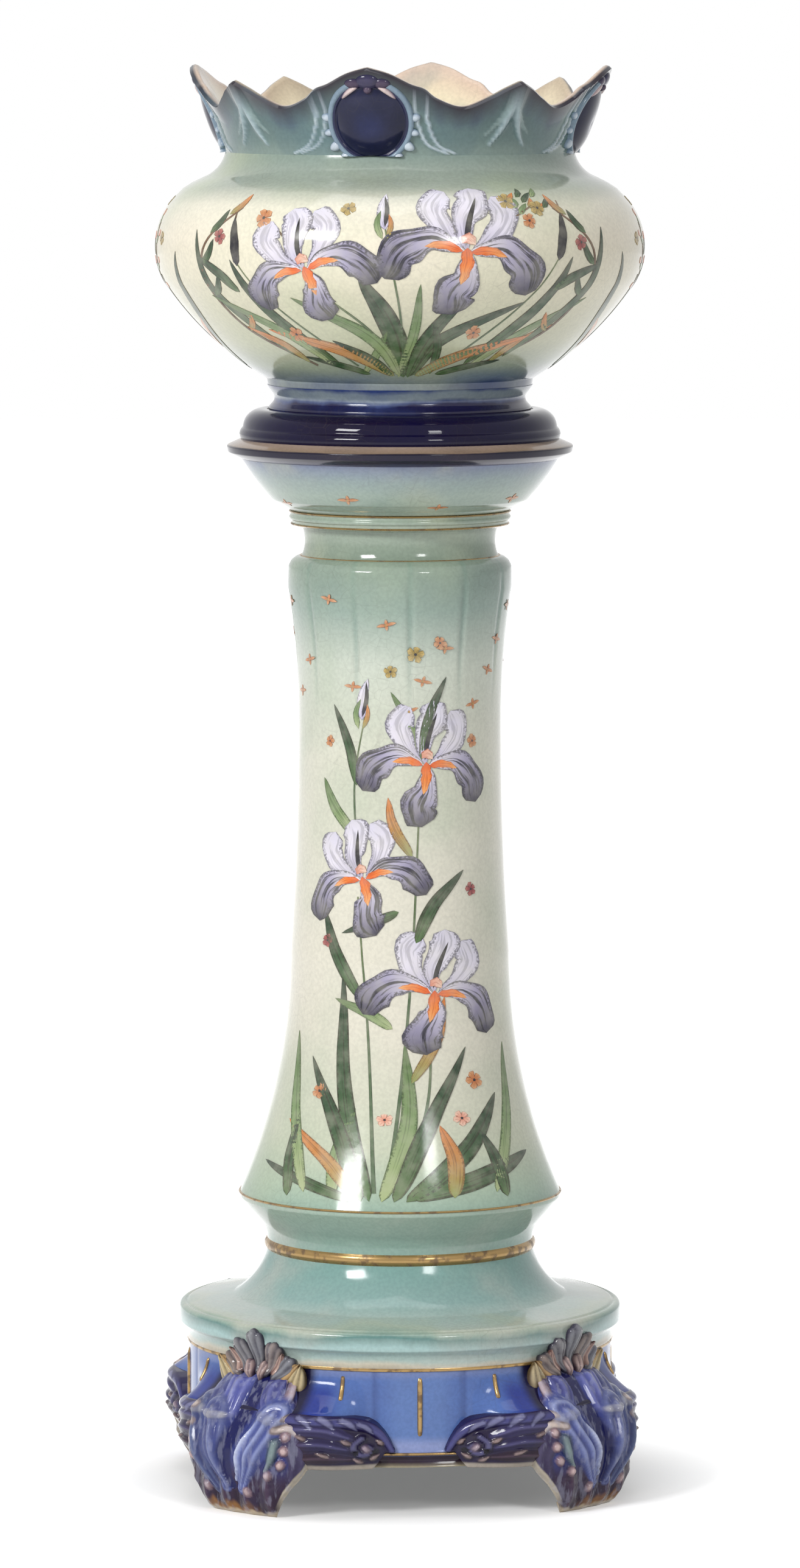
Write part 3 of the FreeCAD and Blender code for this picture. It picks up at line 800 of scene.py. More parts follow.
class Inks(Enum):
    """The painter's palette."""

    LEAF = Ink("#587347", "#3B5638", "#2B4130", "#2A2018", 0.6)
    YOUNG = Ink("#A6B382", "#7C9463", "#55703F", "#3A4C2C", 0.5)
    STRAW = Ink("#8E9A5C", "#C0894E", "#D9803F", "#6B4426", 0.5)
    STALK = Ink("#4C6446", "#54694A", "#6B7A4C", "#2F3D2B", 0.3)
    TWIG = Ink("#5B4A38", "#6A5038", "#7A5640", "#33281F", 0.3)
    STANDARD = Ink("#B9B2CC", "#E4DFEA", "#D3CFDF", "#3C3A4A", 0.35)
    FALL = Ink("#ECE6EE", "#A8A2BC", "#2F2C3A", "#1B1A22", 0.9)
    DARK = Ink("#37343C", "#26242B", "#1D1B21", "#121116", 0.4)
    BEARD = Ink("#E05A1E", "#EF8436", "#F2B06A", "#B4481E", 0.5)
    BLUSH = Ink("#D98A72", "#E7B19A", "#E9CDB8", "#A65A48", 0.4)
    OCHRE = Ink("#8C7638", "#B39750", "#C9B070", "#6B5A30", 0.5)
    RUST = Ink("#B9683C", "#C98756", "#D7A67C", "#8A4B2C", 0.4)
    BERRY = Ink("#7E2F3A", "#A34E4E", "#B9746A", "#54202A", 0.3)


HALF_WIDTHS = {
    Outline.BLADE: lambda s: 1.9 * s ** 0.45 * (1 - s) ** 0.7,
    Outline.PETAL: lambda s: 1.25 * s ** 0.7 * np.sqrt(np.clip(1 - s ** 5, 0, 1)),
    Outline.STEM: lambda s: 1 - 0.55 * s,
    Outline.OVAL: lambda s: np.sqrt(np.clip(1 - (2 * s - 1) ** 2, 0, 1)),
}


@dataclass
class Painting:
    """A painted panel: strokes laid on a form, kept together as one piece."""

    name: str
    form: Form
    facing: float               # degrees from the front to the panel's middle
    reference: float            # radius at which a millimetre across is a millimetre, 0 for the local one
    flip: int = 1               # -1 mirrors the panel
    strokes: list[bpy.types.Object] = field(default_factory=list)
    blanks: dict[tuple[int, int], bpy.types.Object] = field(default_factory=dict)

    def blank(self, columns: int, rows: int) -> bpy.types.Object:
        """Copies a flat stroke, modelled once for each size."""
        if (columns, rows) not in self.blanks:
            self.blanks[columns, rows] = blank(f"{self.name}_blank_{columns}_{rows}", columns, rows)
        source = self.blanks[columns, rows]
        copy = bpy.data.objects.new(f"{self.name}_stroke", source.data.copy())
        bpy.context.scene.collection.objects.link(copy)
        return copy

    def stroke(self, spine: tuple[Point, ...], width: float, shape: Outline, ink: Inks,
               ruffle: float = 0.0, layer: int = 0) -> None:
        """Lays one stroke.

        Args:
            spine: Where it runs, across and along the form, mm.
            width: Its full width at its widest, mm.
            shape: How its width goes from root to tip.
            ink: Its colours.
            ruffle: Waviness of its edges, as a share of its width.
            layer: Higher ones lie over lower ones.
        """
        length = float(np.sum(np.hypot(*np.diff(curve(spine, 12), axis=0).T)))
        rows = int(np.clip(length / 3.2, 4, 30))
        columns = 6 if width > 3 else 3
        piece = self.blank(columns, rows)
        flat = read_points(piece)
        share = flat[:, 1] + 0.5
        line = curve(spine, 64)
        place = share * 63
        low = np.clip(place.astype(int), 0, 62)
        middle = line[low] + (line[low + 1] - line[low]) * (place - low)[:, None]
        run = np.gradient(line, axis=0)
        run /= np.maximum(np.hypot(*run.T), 1e-9)[:, None]
        run = run[np.clip(np.round(place).astype(int), 0, 63)]
        half = np.maximum(0.5 * width * HALF_WIDTHS[shape](share), 0.05)
        wave = 1 + ruffle * np.sin(share * 17 + spine[0][0] + 2.1 * np.sign(flat[:, 0]))
        side = 2 * flat[:, 0] * half * wave
        spot = middle + np.column_stack([run[:, 1], -run[:, 0]]) * side[:, None]
        radius = self.reference or self.form.radius(spot[:, 1])
        angle = self.facing + self.flip * np.degrees(spot[:, 0] / radius)
        write_points(piece, self.form.place(angle, spot[:, 1], 0.12 + 0.05 * layer))
        colours = np.array([tint(code) for code in (ink.value.root, ink.value.middle, ink.value.tip)])
        fill = np.column_stack([np.interp(share, (0, 0.5, 1), colours[:, i]) for i in range(3)])
        write_colours(piece, "fill", fill)
        write_colours(piece, "line", plain(ink.value.line, len(fill)), ink.value.vein)
        self.strokes.append(piece)

    def finish(self, finishes: Finishes, body: Body, slot: Slot) -> bpy.types.Object:
        """Joins the strokes, gives them their thickness and dresses them."""
        for source in self.blanks.values():
            bpy.data.objects.remove(source)
        piece = join(self.strokes, self.name)
        thicken(piece, 0.4, 0.0)
        finish_shape(piece, merge=0.0, crease=50.0)
        return seat_piece(piece, finishes.enamel, body, slot)


@dataclass(frozen=True)
class Placed:
    """Where a motif goes: its root, its turn in degrees and its size."""

    x: float
    t: float
    turn: float = 0.0
    size: float = 1.0

    def move(self, points: tuple[Point, ...]) -> tuple[Point, ...]:
        """Puts a motif's own points in place."""
        angle = math.radians(self.turn)
        c, s = math.cos(angle) * self.size, math.sin(angle) * self.size
        return tuple((self.x + a * c + b * s, self.t - a * s + b * c) for a, b in points)


def paint_iris(panel: Painting, at: Placed) -> None:
    """An open iris: three standards, three falls with their beards, and its sheath."""
    k = at.size
    for side in (-1, 1):
        panel.stroke(at.move(((side * 2, 2), (side * 13, 12), (side * 19, 24), (side * 13, 35))), 19 * k,
                     Outline.PETAL, Inks.STANDARD, 0.1, 1)
    panel.stroke(at.move(((0, 2), (-3, 17), (2, 30), (1, 40))), 21 * k, Outline.PETAL, Inks.STANDARD, 0.1, 2)
    panel.stroke(at.move(((-1, 5), (0, 18), (4, 33))), 3.4 * k, Outline.BLADE, Inks.DARK, 0.0, 3)
    for side in (-1, 1):
        panel.stroke(at.move(((side, 2), (side * 18, 6), (side * 32, -2), (side * 38, -17))), 22 * k,
                     Outline.PETAL, Inks.FALL, 0.12, 3)
        panel.stroke(at.move(((side * 2, 2), (side * 12, 4), (side * 21, 2))), 5 * k, Outline.BLADE,
                     Inks.BEARD, 0.15, 4)
    panel.stroke(at.move(((0, 3), (2, -10), (-2, -22), (1, -34))), 25 * k, Outline.PETAL, Inks.FALL, 0.12, 5)
    panel.stroke(at.move(((0, 4), (1, -5), (0, -15))), 7.5 * k, Outline.BLADE, Inks.BEARD, 0.2, 6)
    panel.stroke(at.move(((-3, 6), (0, 9), (4, 6))), 6 * k, Outline.OVAL, Inks.BLUSH, 0.0, 6)


def paint_bud(panel: Painting, at: Placed) -> None:
    """A closed iris bud in its sheath."""
    k = at.size
    panel.stroke(at.move(((0, 0), (-1, 14), (2, 28))), 9 * k, Outline.BLADE, Inks.STANDARD, 0.0, 2)
    panel.stroke(at.move(((0, 2), (2, 14), (1, 26))), 3.5 * k, Outline.BLADE, Inks.DARK, 0.0, 3)
    panel.stroke(at.move(((-2, -6), (-5, 4), (-2, 14))), 5 * k, Outline.BLADE, Inks.YOUNG, 0.0, 3)
    panel.stroke(at.move(((1, -6), (4, 3), (3, 11))), 4 * k, Outline.BLADE, Inks.STRAW, 0.0, 3)


def paint_blossom(panel: Painting, at: Placed, ink: Inks = Inks.OCHRE, petals: int = 5) -> None:
    """A small open blossom with a dark eye."""
    for i in range(petals):
        turn = math.tau * i / petals
        reach = (7.5 * math.sin(turn), 6.5 * math.cos(turn))
        panel.stroke(at.move(((0, 0), (0.55 * reach[0], 0.55 * reach[1] + 0.6), reach)), 6.5 * at.size,
                     Outline.PETAL, ink, 0.08, 1)
    panel.stroke(at.move(((-1.2, 0), (0, 0.4), (1.2, 0))), 2.4 * at.size, Outline.OVAL, Inks.DARK, 0.0, 2)


def paint_star(panel: Painting, at: Placed) -> None:
    """A little four-armed mark with a dark middle."""
    for reach in ((8, 0.6), (-8, 0.2), (0.5, 4.6), (-0.4, -4.2)):
        panel.stroke(at.move(((0, 0), (0.5 * reach[0], 0.5 * reach[1] + 0.3), reach)), 3.0 * at.size,
                     Outline.BLADE, Inks.RUST)
    panel.stroke(at.move(((-1.6, 0), (0, 0.3), (1.6, 0))), 2.2 * at.size, Outline.OVAL, Inks.STRAW, 0.0, 1)


def paint_bulrush(panel: Painting, at: Placed, stalk: tuple[Point, ...]) -> None:
    """A bulrush head on its stalk; the stalk is given from its root up."""
    panel.stroke(stalk + ((at.x, at.t),), 1.8, Outline.STEM, Inks.STALK)
    panel.stroke(at.move(((0, -2), (0.6, 12), (0, 27))), 7.0 * at.size, Outline.BLADE, Inks.DARK, 0.06, 1)
    panel.stroke(at.move(((0, 24), (0.4, 30), (0, 36))), 1.4 * at.size, Outline.STEM, Inks.TWIG)


def paint_spray(panel: Painting, at: Placed, buds: int = 6, ink: Inks = Inks.BLUSH) -> None:
    """A twig with alternate buds and leaves."""
    panel.stroke(at.move(((0, 0), (6, 22), (4, 46), (12, 66))), 1.7 * at.size, Outline.STEM, Inks.TWIG)
    for i in range(buds):
        side = 1 if i % 2 else -1
        root = (5 + i * 1.1, 14 + i * 9.5)
        end = (root[0] + side * (11 - i), root[1] + 8)
        middle = ((root[0] + end[0]) / 2, root[1] + 2)
        panel.stroke(at.move((root, middle, end)), 4.5 * at.size, Outline.BLADE,
                     Inks.YOUNG if i % 3 else Inks.LEAF)
        tip = (end[0] + side * 2.5, end[1] + 5)
        panel.stroke(at.move((end, tip)), 4.4 * at.size, Outline.OVAL, ink, 0.0, 1)


def paint_blades(panel: Painting, blades: tuple[tuple[Point, Point, float, float, Inks], ...]) -> None:
    """Sword leaves: each from a root to a tip, with its sideways bow and its width."""
    for i, (root, tip, bow, width, ink) in enumerate(blades):
        middle = ((root[0] + tip[0]) / 2 + bow, (root[1] + tip[1]) / 2 + 0.18 * abs(bow))
        panel.stroke((root, middle, tip), width, Outline.BLADE, ink, 0.03, i % 3)


# ------------------------------------------------------------ bowl
@dataclass
class Bowl:
    """The jardiniere: foot ring, belly, scalloped neck and the ornaments on it."""

    finishes: Finishes
    turn: float = -14.3             # of its front medallion, degrees
    sides: int = 4                  # medallions round the neck
    wall: float = 8.0
    lip: float = 5.5                # thickness of the rim
    neck_height: float = 61.0
    rim_by_angle: tuple[Point, ...] = ((0, 61), (6, 56.6), (12, 49.5), (16, 46.2), (20, 39.5), (28, 34),
                                       (36, 41.0), (40, 46.0), (45, 51.5))
    neck_r: float = 132.0           # at which the neck's relief is laid flat
    medallion_height: float = 22.0  # above the foot of the neck
    medallion_r: float = 26.5
    medallion_rise: float = 7.0
    medallion_stretch: float = 1.2  # of its upper half
    belly_form: Form = field(init=False)
    neck_form: Form = field(init=False)

    def __post_init__(self) -> None:
        """Draws the outer lines of the belly and the neck."""
        self.belly_line = outline((93.6, 4.6), (
            Run(165.8, 73, (137.5, 38.8)), Run(157.5, 132.0, (171.9, 97)), Run(152, 137.6), Run(146, 141.4),
            Run(138, 145.4), Run(122.5, 163, (127.8, 152.4))), 3.0, 4.0)
        self.neck_line = outline((122.5, 0), (Run(138.3, 42.7, (128.6, 22)), Run(148, 61)), 2.0)
        self.belly_form = Form(self.belly_line, level("bowl_belly"))
        self.neck_form = Form(self.neck_line, level("bowl_neck"))

    def build_foot(self) -> None:
        """Turns the foot ring, with the groove round it."""
        line = outline((92, 0), (Run(92.3, 3), Run(89.4, 6.2), Run(89.4, 12.6, (88.2, 9.4)),
                                 Run(91.6, 15.6), Run(93.4, 18.5)), 1.5)
        ring = line + [(74.6, 18.5), (74.6, 1.2), (75.8, 0)]
        piece = turned("bowl_foot_ring", ring, level("bowl_foot"))
        seat_piece(piece, self.finishes.foot_ring, Body.BOWL, Slot.LILAC, "bowl_foot")

    def build_belly(self) -> None:
        """Turns the belly, with its floor."""
        inner = outline((114.5, 163), (
            Run(137, 136, (120.5, 151)), Run(148.7, 128), Run(158.0, 76, (163.5, 97)),
            Run(86, 13, (131, 43)), Run(0.0, 13)), 4.0)
        foot = [(0.0, 2.0), (74, 2.0), (76, 0), (92.8, 0)]
        piece = turned("belly", self.belly_line + inner + foot, level("bowl_belly"))
        points = read_points(piece) / MM
        height = points[:, 2] - level("bowl_belly")
        line_r, line_z = np.array(self.belly_line).T
        inner_side = polar(points)[0] < np.interp(height, line_z, line_r) - 3
        within = inner_side & (height > 8)
        write_colours(piece, "lining", np.repeat(within[:, None], 3, axis=1).astype(float))
        seat_piece(piece, self.finishes.belly, Body.BOWL, Slot.CREAM, "bowl_belly")

    def rim_height(self, fold: np.ndarray) -> np.ndarray:
        """Height of the rim by degrees from the nearest medallion."""
        fine = curve(self.rim_by_angle, 200)
        return np.interp(fold, fine[:, 0], fine[:, 1])

    def neck_ridges(self) -> tuple[Ridge, ...]:
        """Straps beside a medallion, the hollow between tips and the fold under a tip, on one half side."""
        degree = math.radians(1) * self.neck_r
        tip = 45 * degree

        def along(*places: Point) -> tuple[Point, ...]:
            """Turns places given in degrees and millimetres into millimetres."""
            return tuple((a * degree, h) for a, h in places)

        straps = (
            Ridge(along((start, 43), (waist, 24), (foot, 8), (end, 1.0)), 1.5, 1.5, "#A9B9C4", 0.8, 0.7, 0.8,
                  "#C4D0D6")
            for start, waist, foot, end in ((13.2, 14.2, 17.6, 24.5), (16.4, 17.4, 20.8, 27.0)))
        return (
            Ridge(along((28, 31), (29, 10)), 19.0, -4.2, "#5A7276", 1, 0.7, 0.4),
            # the fold under a tip; its pale crest is a painted highlight line
            Ridge(((tip, 52), (tip - 2, 34), (tip - 7, 18), (tip - 15, 7)), 4.2, 3.4, "#7D9298", 1, 0.4, 0.6,
                  "#A9BBC0"),
            Ridge(((tip - 1.5, 40), (tip - 9, 24), (tip - 19, 14)), 2.2, 1.2, "#8EA2A0", 0.6, 0.4, 0.6),
            *straps,
            Ridge(along((4, 61), (12, 48.5), (16, 45), (21, 38)), 2.4, 1.0, "#2C2A44", 0.9, 0.5, 0.8),
        )

    def build_neck(self) -> None:
        """Turns the neck, then pulls its rim into scallops and models its relief."""
        top, lip = self.neck_line[-1], self.lip
        rim = [(top[0] + 0.3, top[1] - 2.4), (top[0] - 0.7, top[1] - 0.7), (top[0] - 2.4, top[1]),
               (top[0] - lip + 1.4, top[1] - 0.6), (top[0] - lip, top[1] - 2.6)]
        inner = [(r - self.wall + (self.wall - lip) * z / self.neck_height, z)
                 for r, z in reversed(self.neck_line[:-3])]
        foot = level("bowl_neck")
        piece = turned("scalloped_neck", self.neck_line[:-2] + rim + inner, foot, RELIEF_STEPS)
        points = read_points(piece) / MM
        radius, angle = polar(points)
        side = 360 / self.sides
        fold = np.abs((angle - self.turn + side / 2) % side - side / 2)
        height = points[:, 2] - foot
        line_r, line_z = np.array(self.neck_line).T
        offset = radius - np.interp(height, line_z, line_r)
        outside = offset > -2.0
        rim_here = self.rim_height(fold)
        kept = 7.0
        low = height * (rim_here - kept) / (self.neck_height - kept)
        new = np.where(height > self.neck_height - kept, rim_here - (self.neck_height - height), low)
        near_rim = rim_here - new
        colours = layered(
            plain("#657C79", len(points)),
            ("#7F918A", smooth(-new, -12, 0)),
            ("#4B6366", smooth(fold, 16, 30) * smooth(new, 8, 24) * 0.6))
        flat = np.column_stack([fold * math.radians(1) * self.neck_r, new])
        raised, colours = carve(flat, colours, self.neck_ridges())
        ragged = 1.6 * np.sin(np.radians(angle * 23)) + 1.1 * np.sin(np.radians(angle * 61 + 40))
        colours = layered(
            colours,
            ("#2F3658", smooth(-near_rim + ragged, -20, -6) * 0.85),
            ("#221826", smooth(-near_rim + 0.6 * ragged, -8.8, -4.6)))
        bead = 1.3 * np.exp(-((near_rim - 2.6) / 2.2) ** 2)
        raised = np.where(outside, raised * smooth(near_rim, 1, 6) + bead, 0)
        lining = layered(
            plain("#E6D9BC", len(points)),
            ("#B9C29A", smooth(-near_rim, -16, -3) * smooth(-fold, -30, -38)),
            ("#C9A79A", smooth(-near_rim, -9, -3) * 0.6))
        radius = np.interp(new, line_z, line_r) + offset + raised
        write_points(piece, round_axis(radius, np.radians(angle), new + foot))
        write_colours(piece, "glaze", np.where(outside[:, None], colours, lining))
        finish_shape(piece, crease=60.0)
        seat_piece(piece, self.finishes.neck, Body.BOWL, Slot.SLATE, "bowl_neck")

    def press(self, piece: bpy.types.Object, angle: float, height: float, stretch: float = 1.0) -> None:
        """Presses a piece made flat, with its face along +Z, onto the neck at an angle and a height.

        Args:
            piece: The piece; its place is kept in its mesh.
            angle: Degrees from the front.
            height: Of its middle, over the neck's foot.
            stretch: How much its upper half is drawn out.
        """
        flat = read_points(piece) / MM
        flat[:, 1] *= np.where(flat[:, 1] > 0, stretch, 1.0)
        t = self.neck_form.along(height)
        across = np.degrees(flat[:, 0] / self.neck_form.radius(t))
        write_points(piece, self.neck_form.place(angle + across, t + flat[:, 1], flat[:, 2]))

    def build_medallion(self, index: int) -> None:
        """A domed roundel, its frame of beads and petals, and the crest over it."""
        angle = self.turn + 360 / self.sides * (index - 1)
        r, rise = self.medallion_r, self.medallion_rise
        dome = turned(f"roundel_{index}", outline((0.0, rise), (
            Run(r - 4.5, 2.6, (0.55 * r, 0.86 * rise)), Run(r - 2.8, 1.4), Run(r - 1.6, 2.4),
            Run(r - 0.2, 2.2), Run(r, -3), Run(0, -3)), 2.0), 0.0, 64)
        out = polar(read_points(dome) / MM)[0]
        write_colours(dome, "glaze", layered(
            plain("#0D1233", len(out)),
            # painted sheen: the dome paler towards its middle
            ("#1C2758", smooth(-out, -16, -2) * 0.55),
            ("#2E3354", smooth(out, r - 2.6, r - 1.0) * 0.7)))
        self.press(dome, angle, self.medallion_height, self.medallion_stretch)
        finish_shape(dome)
        seat_piece(dome, self.finishes.painted, Body.BOWL, Slot.NAVY, f"medallion_{index}")
        self.build_frame(index, angle)
        self.build_crest(index, angle)

    def build_frame(self, index: int, angle: float) -> None:
        """The ring round a roundel: a fillet with drop-shaped petals below and beads at the sides."""
        r = self.medallion_r
        ring = turned(f"roundel_ring_{index}", outline((r - 1.0, -2), (
            Run(r - 0.6, 2.2), Run(r + 3.0, 1.6, (r + 1.3, 3.4)), Run(r + 4.0, -2)), 1.2), 0.0, 72)
        write_colours(ring, "glaze", plain("#8296A6", len(ring.data.vertices)))
        parts = [ring]
        for i in range(11):
            turn = math.radians(-90 + (i - 5) * 19.5)
            size = 1.0 if abs(i - 5) < 4 else 0.75
            petal, flat = ball(16, 10, 3.3 * size)
            drop = 1 - 0.05 * flat[:, 1]
            flat = np.column_stack([flat[:, 0] * 1.05 * drop, flat[:, 1] * 1.5, flat[:, 2]])
            out = r + 4.2
            c, s = math.cos(turn), math.sin(turn)
            placed = np.column_stack([flat[:, 0] * s + (flat[:, 1] + out) * c,
                                      -flat[:, 0] * c + (flat[:, 1] + out) * s, flat[:, 2] + 0.6])
            write_points(petal, placed * MM)
            # painted highlight: each petal paler on its outer face
            colours = layered(plain("#8EA1B4", len(flat)), ("#C9D3DC", smooth(flat[:, 2], 0.5, 3)))
            write_colours(petal, "glaze", colours)
            parts.append(petal)
        piece = join(parts, f"roundel_frame_{index}")
        self.press(piece, angle, self.medallion_height, self.medallion_stretch)
        finish_shape(piece)
        seat_piece(piece, self.finishes.painted, Body.BOWL, Slot.AQUA, f"medallion_frame_{index}")

    def build_crest(self, index: int, angle: float) -> None:
        """The little crown over a roundel, with a lobe on each side."""
        dark, brown, blush = ("#2A2440", "#4A3C50"), ("#2B2440", "#5A4A5A"), ("#A9909A", "#DCC9C4")
        lobes = (
            (0, 33.0, 7.5, 6.0, 3.6, ("#221F3C", "#3B3550")),
            (-9.0, 31.5, 5.5, 4.2, 3.0, dark), (9.0, 31.5, 5.5, 4.2, 3.0, dark),
            (-11.5, 26.2, 6.2, 2.6, 3.4, blush), (11.5, 26.2, 6.2, 2.6, 3.4, blush),
            (0, 27.4, 3.0, 3.4, 4.4, brown))
        parts = []
        for x, y, wide, high, proud, (low, top) in lobes:
            lobe, flat = ball(24, 12)
            colours = layered(plain(low, len(flat)), (top, smooth(flat[:, 2], 0.3, 0.95)))
            droops = high < 3
            bend = -0.035 * (x + flat[:, 0] * wide) ** 2 + 4.6 if droops else 0
            placed = np.column_stack([x + flat[:, 0] * wide, y + flat[:, 1] * high + bend,
                                      flat[:, 2] * proud + 1.2])
            write_points(lobe, placed * MM)
            write_colours(lobe, "glaze", colours)
            parts.append(lobe)
        piece = join(parts, f"roundel_crest_{index}")
        self.press(piece, angle, self.medallion_height)
        finish_shape(piece)
        seat_piece(piece, self.finishes.painted, Body.BOWL, Slot.NAVY, f"rim_crest_{index}")

    def paint(self) -> None:
        """Paints irises on the front and the back of the belly, and sprays on its sides."""
        for name, facing, flip in (("belly_iris_front", -6.0, 1), ("belly_iris_back", 174.0, -1)):
            panel = Painting(name, self.belly_form, facing, 165.0, flip)
            self.paint_front(panel)
            panel.finish(self.finishes, Body.BOWL, Slot.CREAM)
        for name, facing, flip in (("belly_spray_right", 84.0, 1), ("belly_spray_left", -96.0, -1)):
            panel = Painting(name, self.belly_form, facing, 165.0, flip)
            self.paint_side(panel)
            panel.finish(self.finishes, Body.BOWL, Slot.CREAM)

    @staticmethod
    def paint_front(panel: Painting) -> None:
        """The main panel: two irises and a bud over a fan of sword leaves."""
        leaf, young, straw = Inks.LEAF, Inks.YOUNG, Inks.STRAW
        paint_blades(panel, (
            ((6, 10), (-26, 112), 6, 22, leaf), ((10, 10), (52, 98), -6, 15, leaf),
            ((2, 12), (-78, 92), 16, 14, young), ((14, 12), (96, 88), -18, 14, leaf),
            ((-4, 12), (-112, 62), 12, 14, straw), ((18, 12), (118, 56), -10, 14, straw),
            ((0, 10), (16, 104), 5, 10, young), ((-6, 12), (-56, 52), 5, 10, leaf),
            ((20, 12), (74, 44), -4, 11, young), ((-58, 24), (-122, 120), -8, 12, leaf),
            ((-66, 26), (-152, 92), 10, 10, young), ((66, 26), (128, 122), 8, 12, leaf),
            ((72, 22), (156, 90), -8, 10, young), ((-30, 14), (-92, 34), 3, 9, leaf),
            ((40, 14), (104, 30), -3, 9, leaf), ((-100, 34), (-158, 140), -14, 9, leaf),
            ((104, 34), (160, 142), 14, 9, leaf), ((-90, 28), (-134, 64), 6, 9, straw),
            ((92, 28), (136, 66), -6, 9, straw), ((-120, 96), (-156, 122), 4, 9, leaf),
            ((116, 98), (156, 116), -4, 9, leaf), ((-36, 14), (-8, 62), 3, 9, young),
            ((34, 14), (28, 72), 4, 9, leaf)))
        panel.stroke(((4, 14), (-20, 60), (-58, 100)), 2.8, Outline.STEM, Inks.STALK)
        panel.stroke(((8, 14), (34, 66), (44, 108)), 3.0, Outline.STEM, Inks.STALK)
        panel.stroke(((6, 14), (2, 80), (-8, 144)), 2.2, Outline.STEM, Inks.STALK)
        for side in (-1, 1):
            panel.stroke(((side * 84, 24), (side * 138, 66), (side * 150, 122), (side * 118, 158)), 3.0,
                         Outline.STEM,
                         Inks.TWIG)
            for x, t, turn in ((133, 60, 60), (147, 92, 34), (150, 116, -10), (142, 138, -38),
                               (128, 152, -60)):
                panel.stroke(((side * x, t), (side * (x - 8), t + 8), (side * (x - 12), t + 18)), 6.5,
                             Outline.BLADE,
                             Inks.LEAF if turn % 4 else Inks.STRAW, 0.0, 1)
        paint_iris(panel, Placed(46, 124, 8, 1.36))
        paint_iris(panel, Placed(-62, 112, -16, 1.18))
        paint_bud(panel, Placed(-8, 142, -4, 1.05))
        paint_bulrush(panel, Placed(-116, 118, -10, 1.2), ((-40, 24), (-84, 72)))
        paint_bulrush(panel, Placed(116, 122, 12, 1.2), ((44, 24), (88, 76)))
        for i in range(9):
            x, t = 84 + 6.5 * (i % 5) - 3 * (i // 5), 158 + 5 * ((i * 2) % 4) - 5 * (i // 5)
            panel.stroke(((x, t), (x + 4, t + 4), (x + 3 + i, t + 9)), 5.5, Outline.BLADE,
                         (young, leaf, straw)[i % 3])
        for x, t, size, ink in (
                (80, 164, 1.0, Inks.OCHRE), (104, 158, 0.9, Inks.OCHRE), (94, 148, 0.8, Inks.RUST),
                (-96, 150, 1.0, Inks.RUST), (-34, 158, 0.8, Inks.OCHRE), (-132, 136, 0.8, Inks.BERRY),
                (136, 132, 0.8, Inks.BERRY), (62, 60, 1.0, Inks.RUST), (-86, 58, 1.0, Inks.RUST)):
            paint_blossom(panel, Placed(x, t, x, size), ink)
        panel.stroke(((72, 142), (86, 152), (104, 162)), 1.8, Outline.STEM, Inks.TWIG)
        panel.stroke(((-70, 128), (-84, 142), (-96, 150)), 1.8, Outline.STEM, Inks.TWIG)

    @staticmethod
    def paint_side(panel: Painting) -> None:
        """A side panel: a clump of leaves with sprays and a bulrush."""
        leaf, young, straw = Inks.LEAF, Inks.YOUNG, Inks.STRAW
        paint_blades(panel, (
            ((0, 12), (-24, 106), 5, 14, leaf), ((4, 12), (26, 114), -5, 13, young),
            ((0, 12), (56, 76), -6, 12, leaf), ((-4, 12), (-58, 70), 6, 12, straw),
            ((2, 12), (4, 94), 3, 11, leaf), ((30, 18), (72, 120), 10, 11, leaf),
            ((-30, 18), (-74, 124), -10, 11, leaf), ((-12, 14), (-44, 44), 3, 10, young),
            ((14, 14), (48, 42), -3, 10, straw)))
        paint_spray(panel, Placed(-10, 78, -24, 1.0))
        paint_spray(panel, Placed(14, 82, 14, 0.9), 6, Inks.RUST)
        paint_bulrush(panel, Placed(44, 106, 16, 0.8), ((8, 20), (28, 66)))
        for x, t in ((-44, 132), (40, 148), (-6, 160)):
            paint_blossom(panel, Placed(x, t, x, 0.7), Inks.OCHRE)

    def build(self) -> None:
        """Makes the whole bowl."""
        self.build_foot()
        self.build_belly()
        self.build_neck()
        for index in range(1, self.sides + 1):
            self.build_medallion(index)
        self.paint()


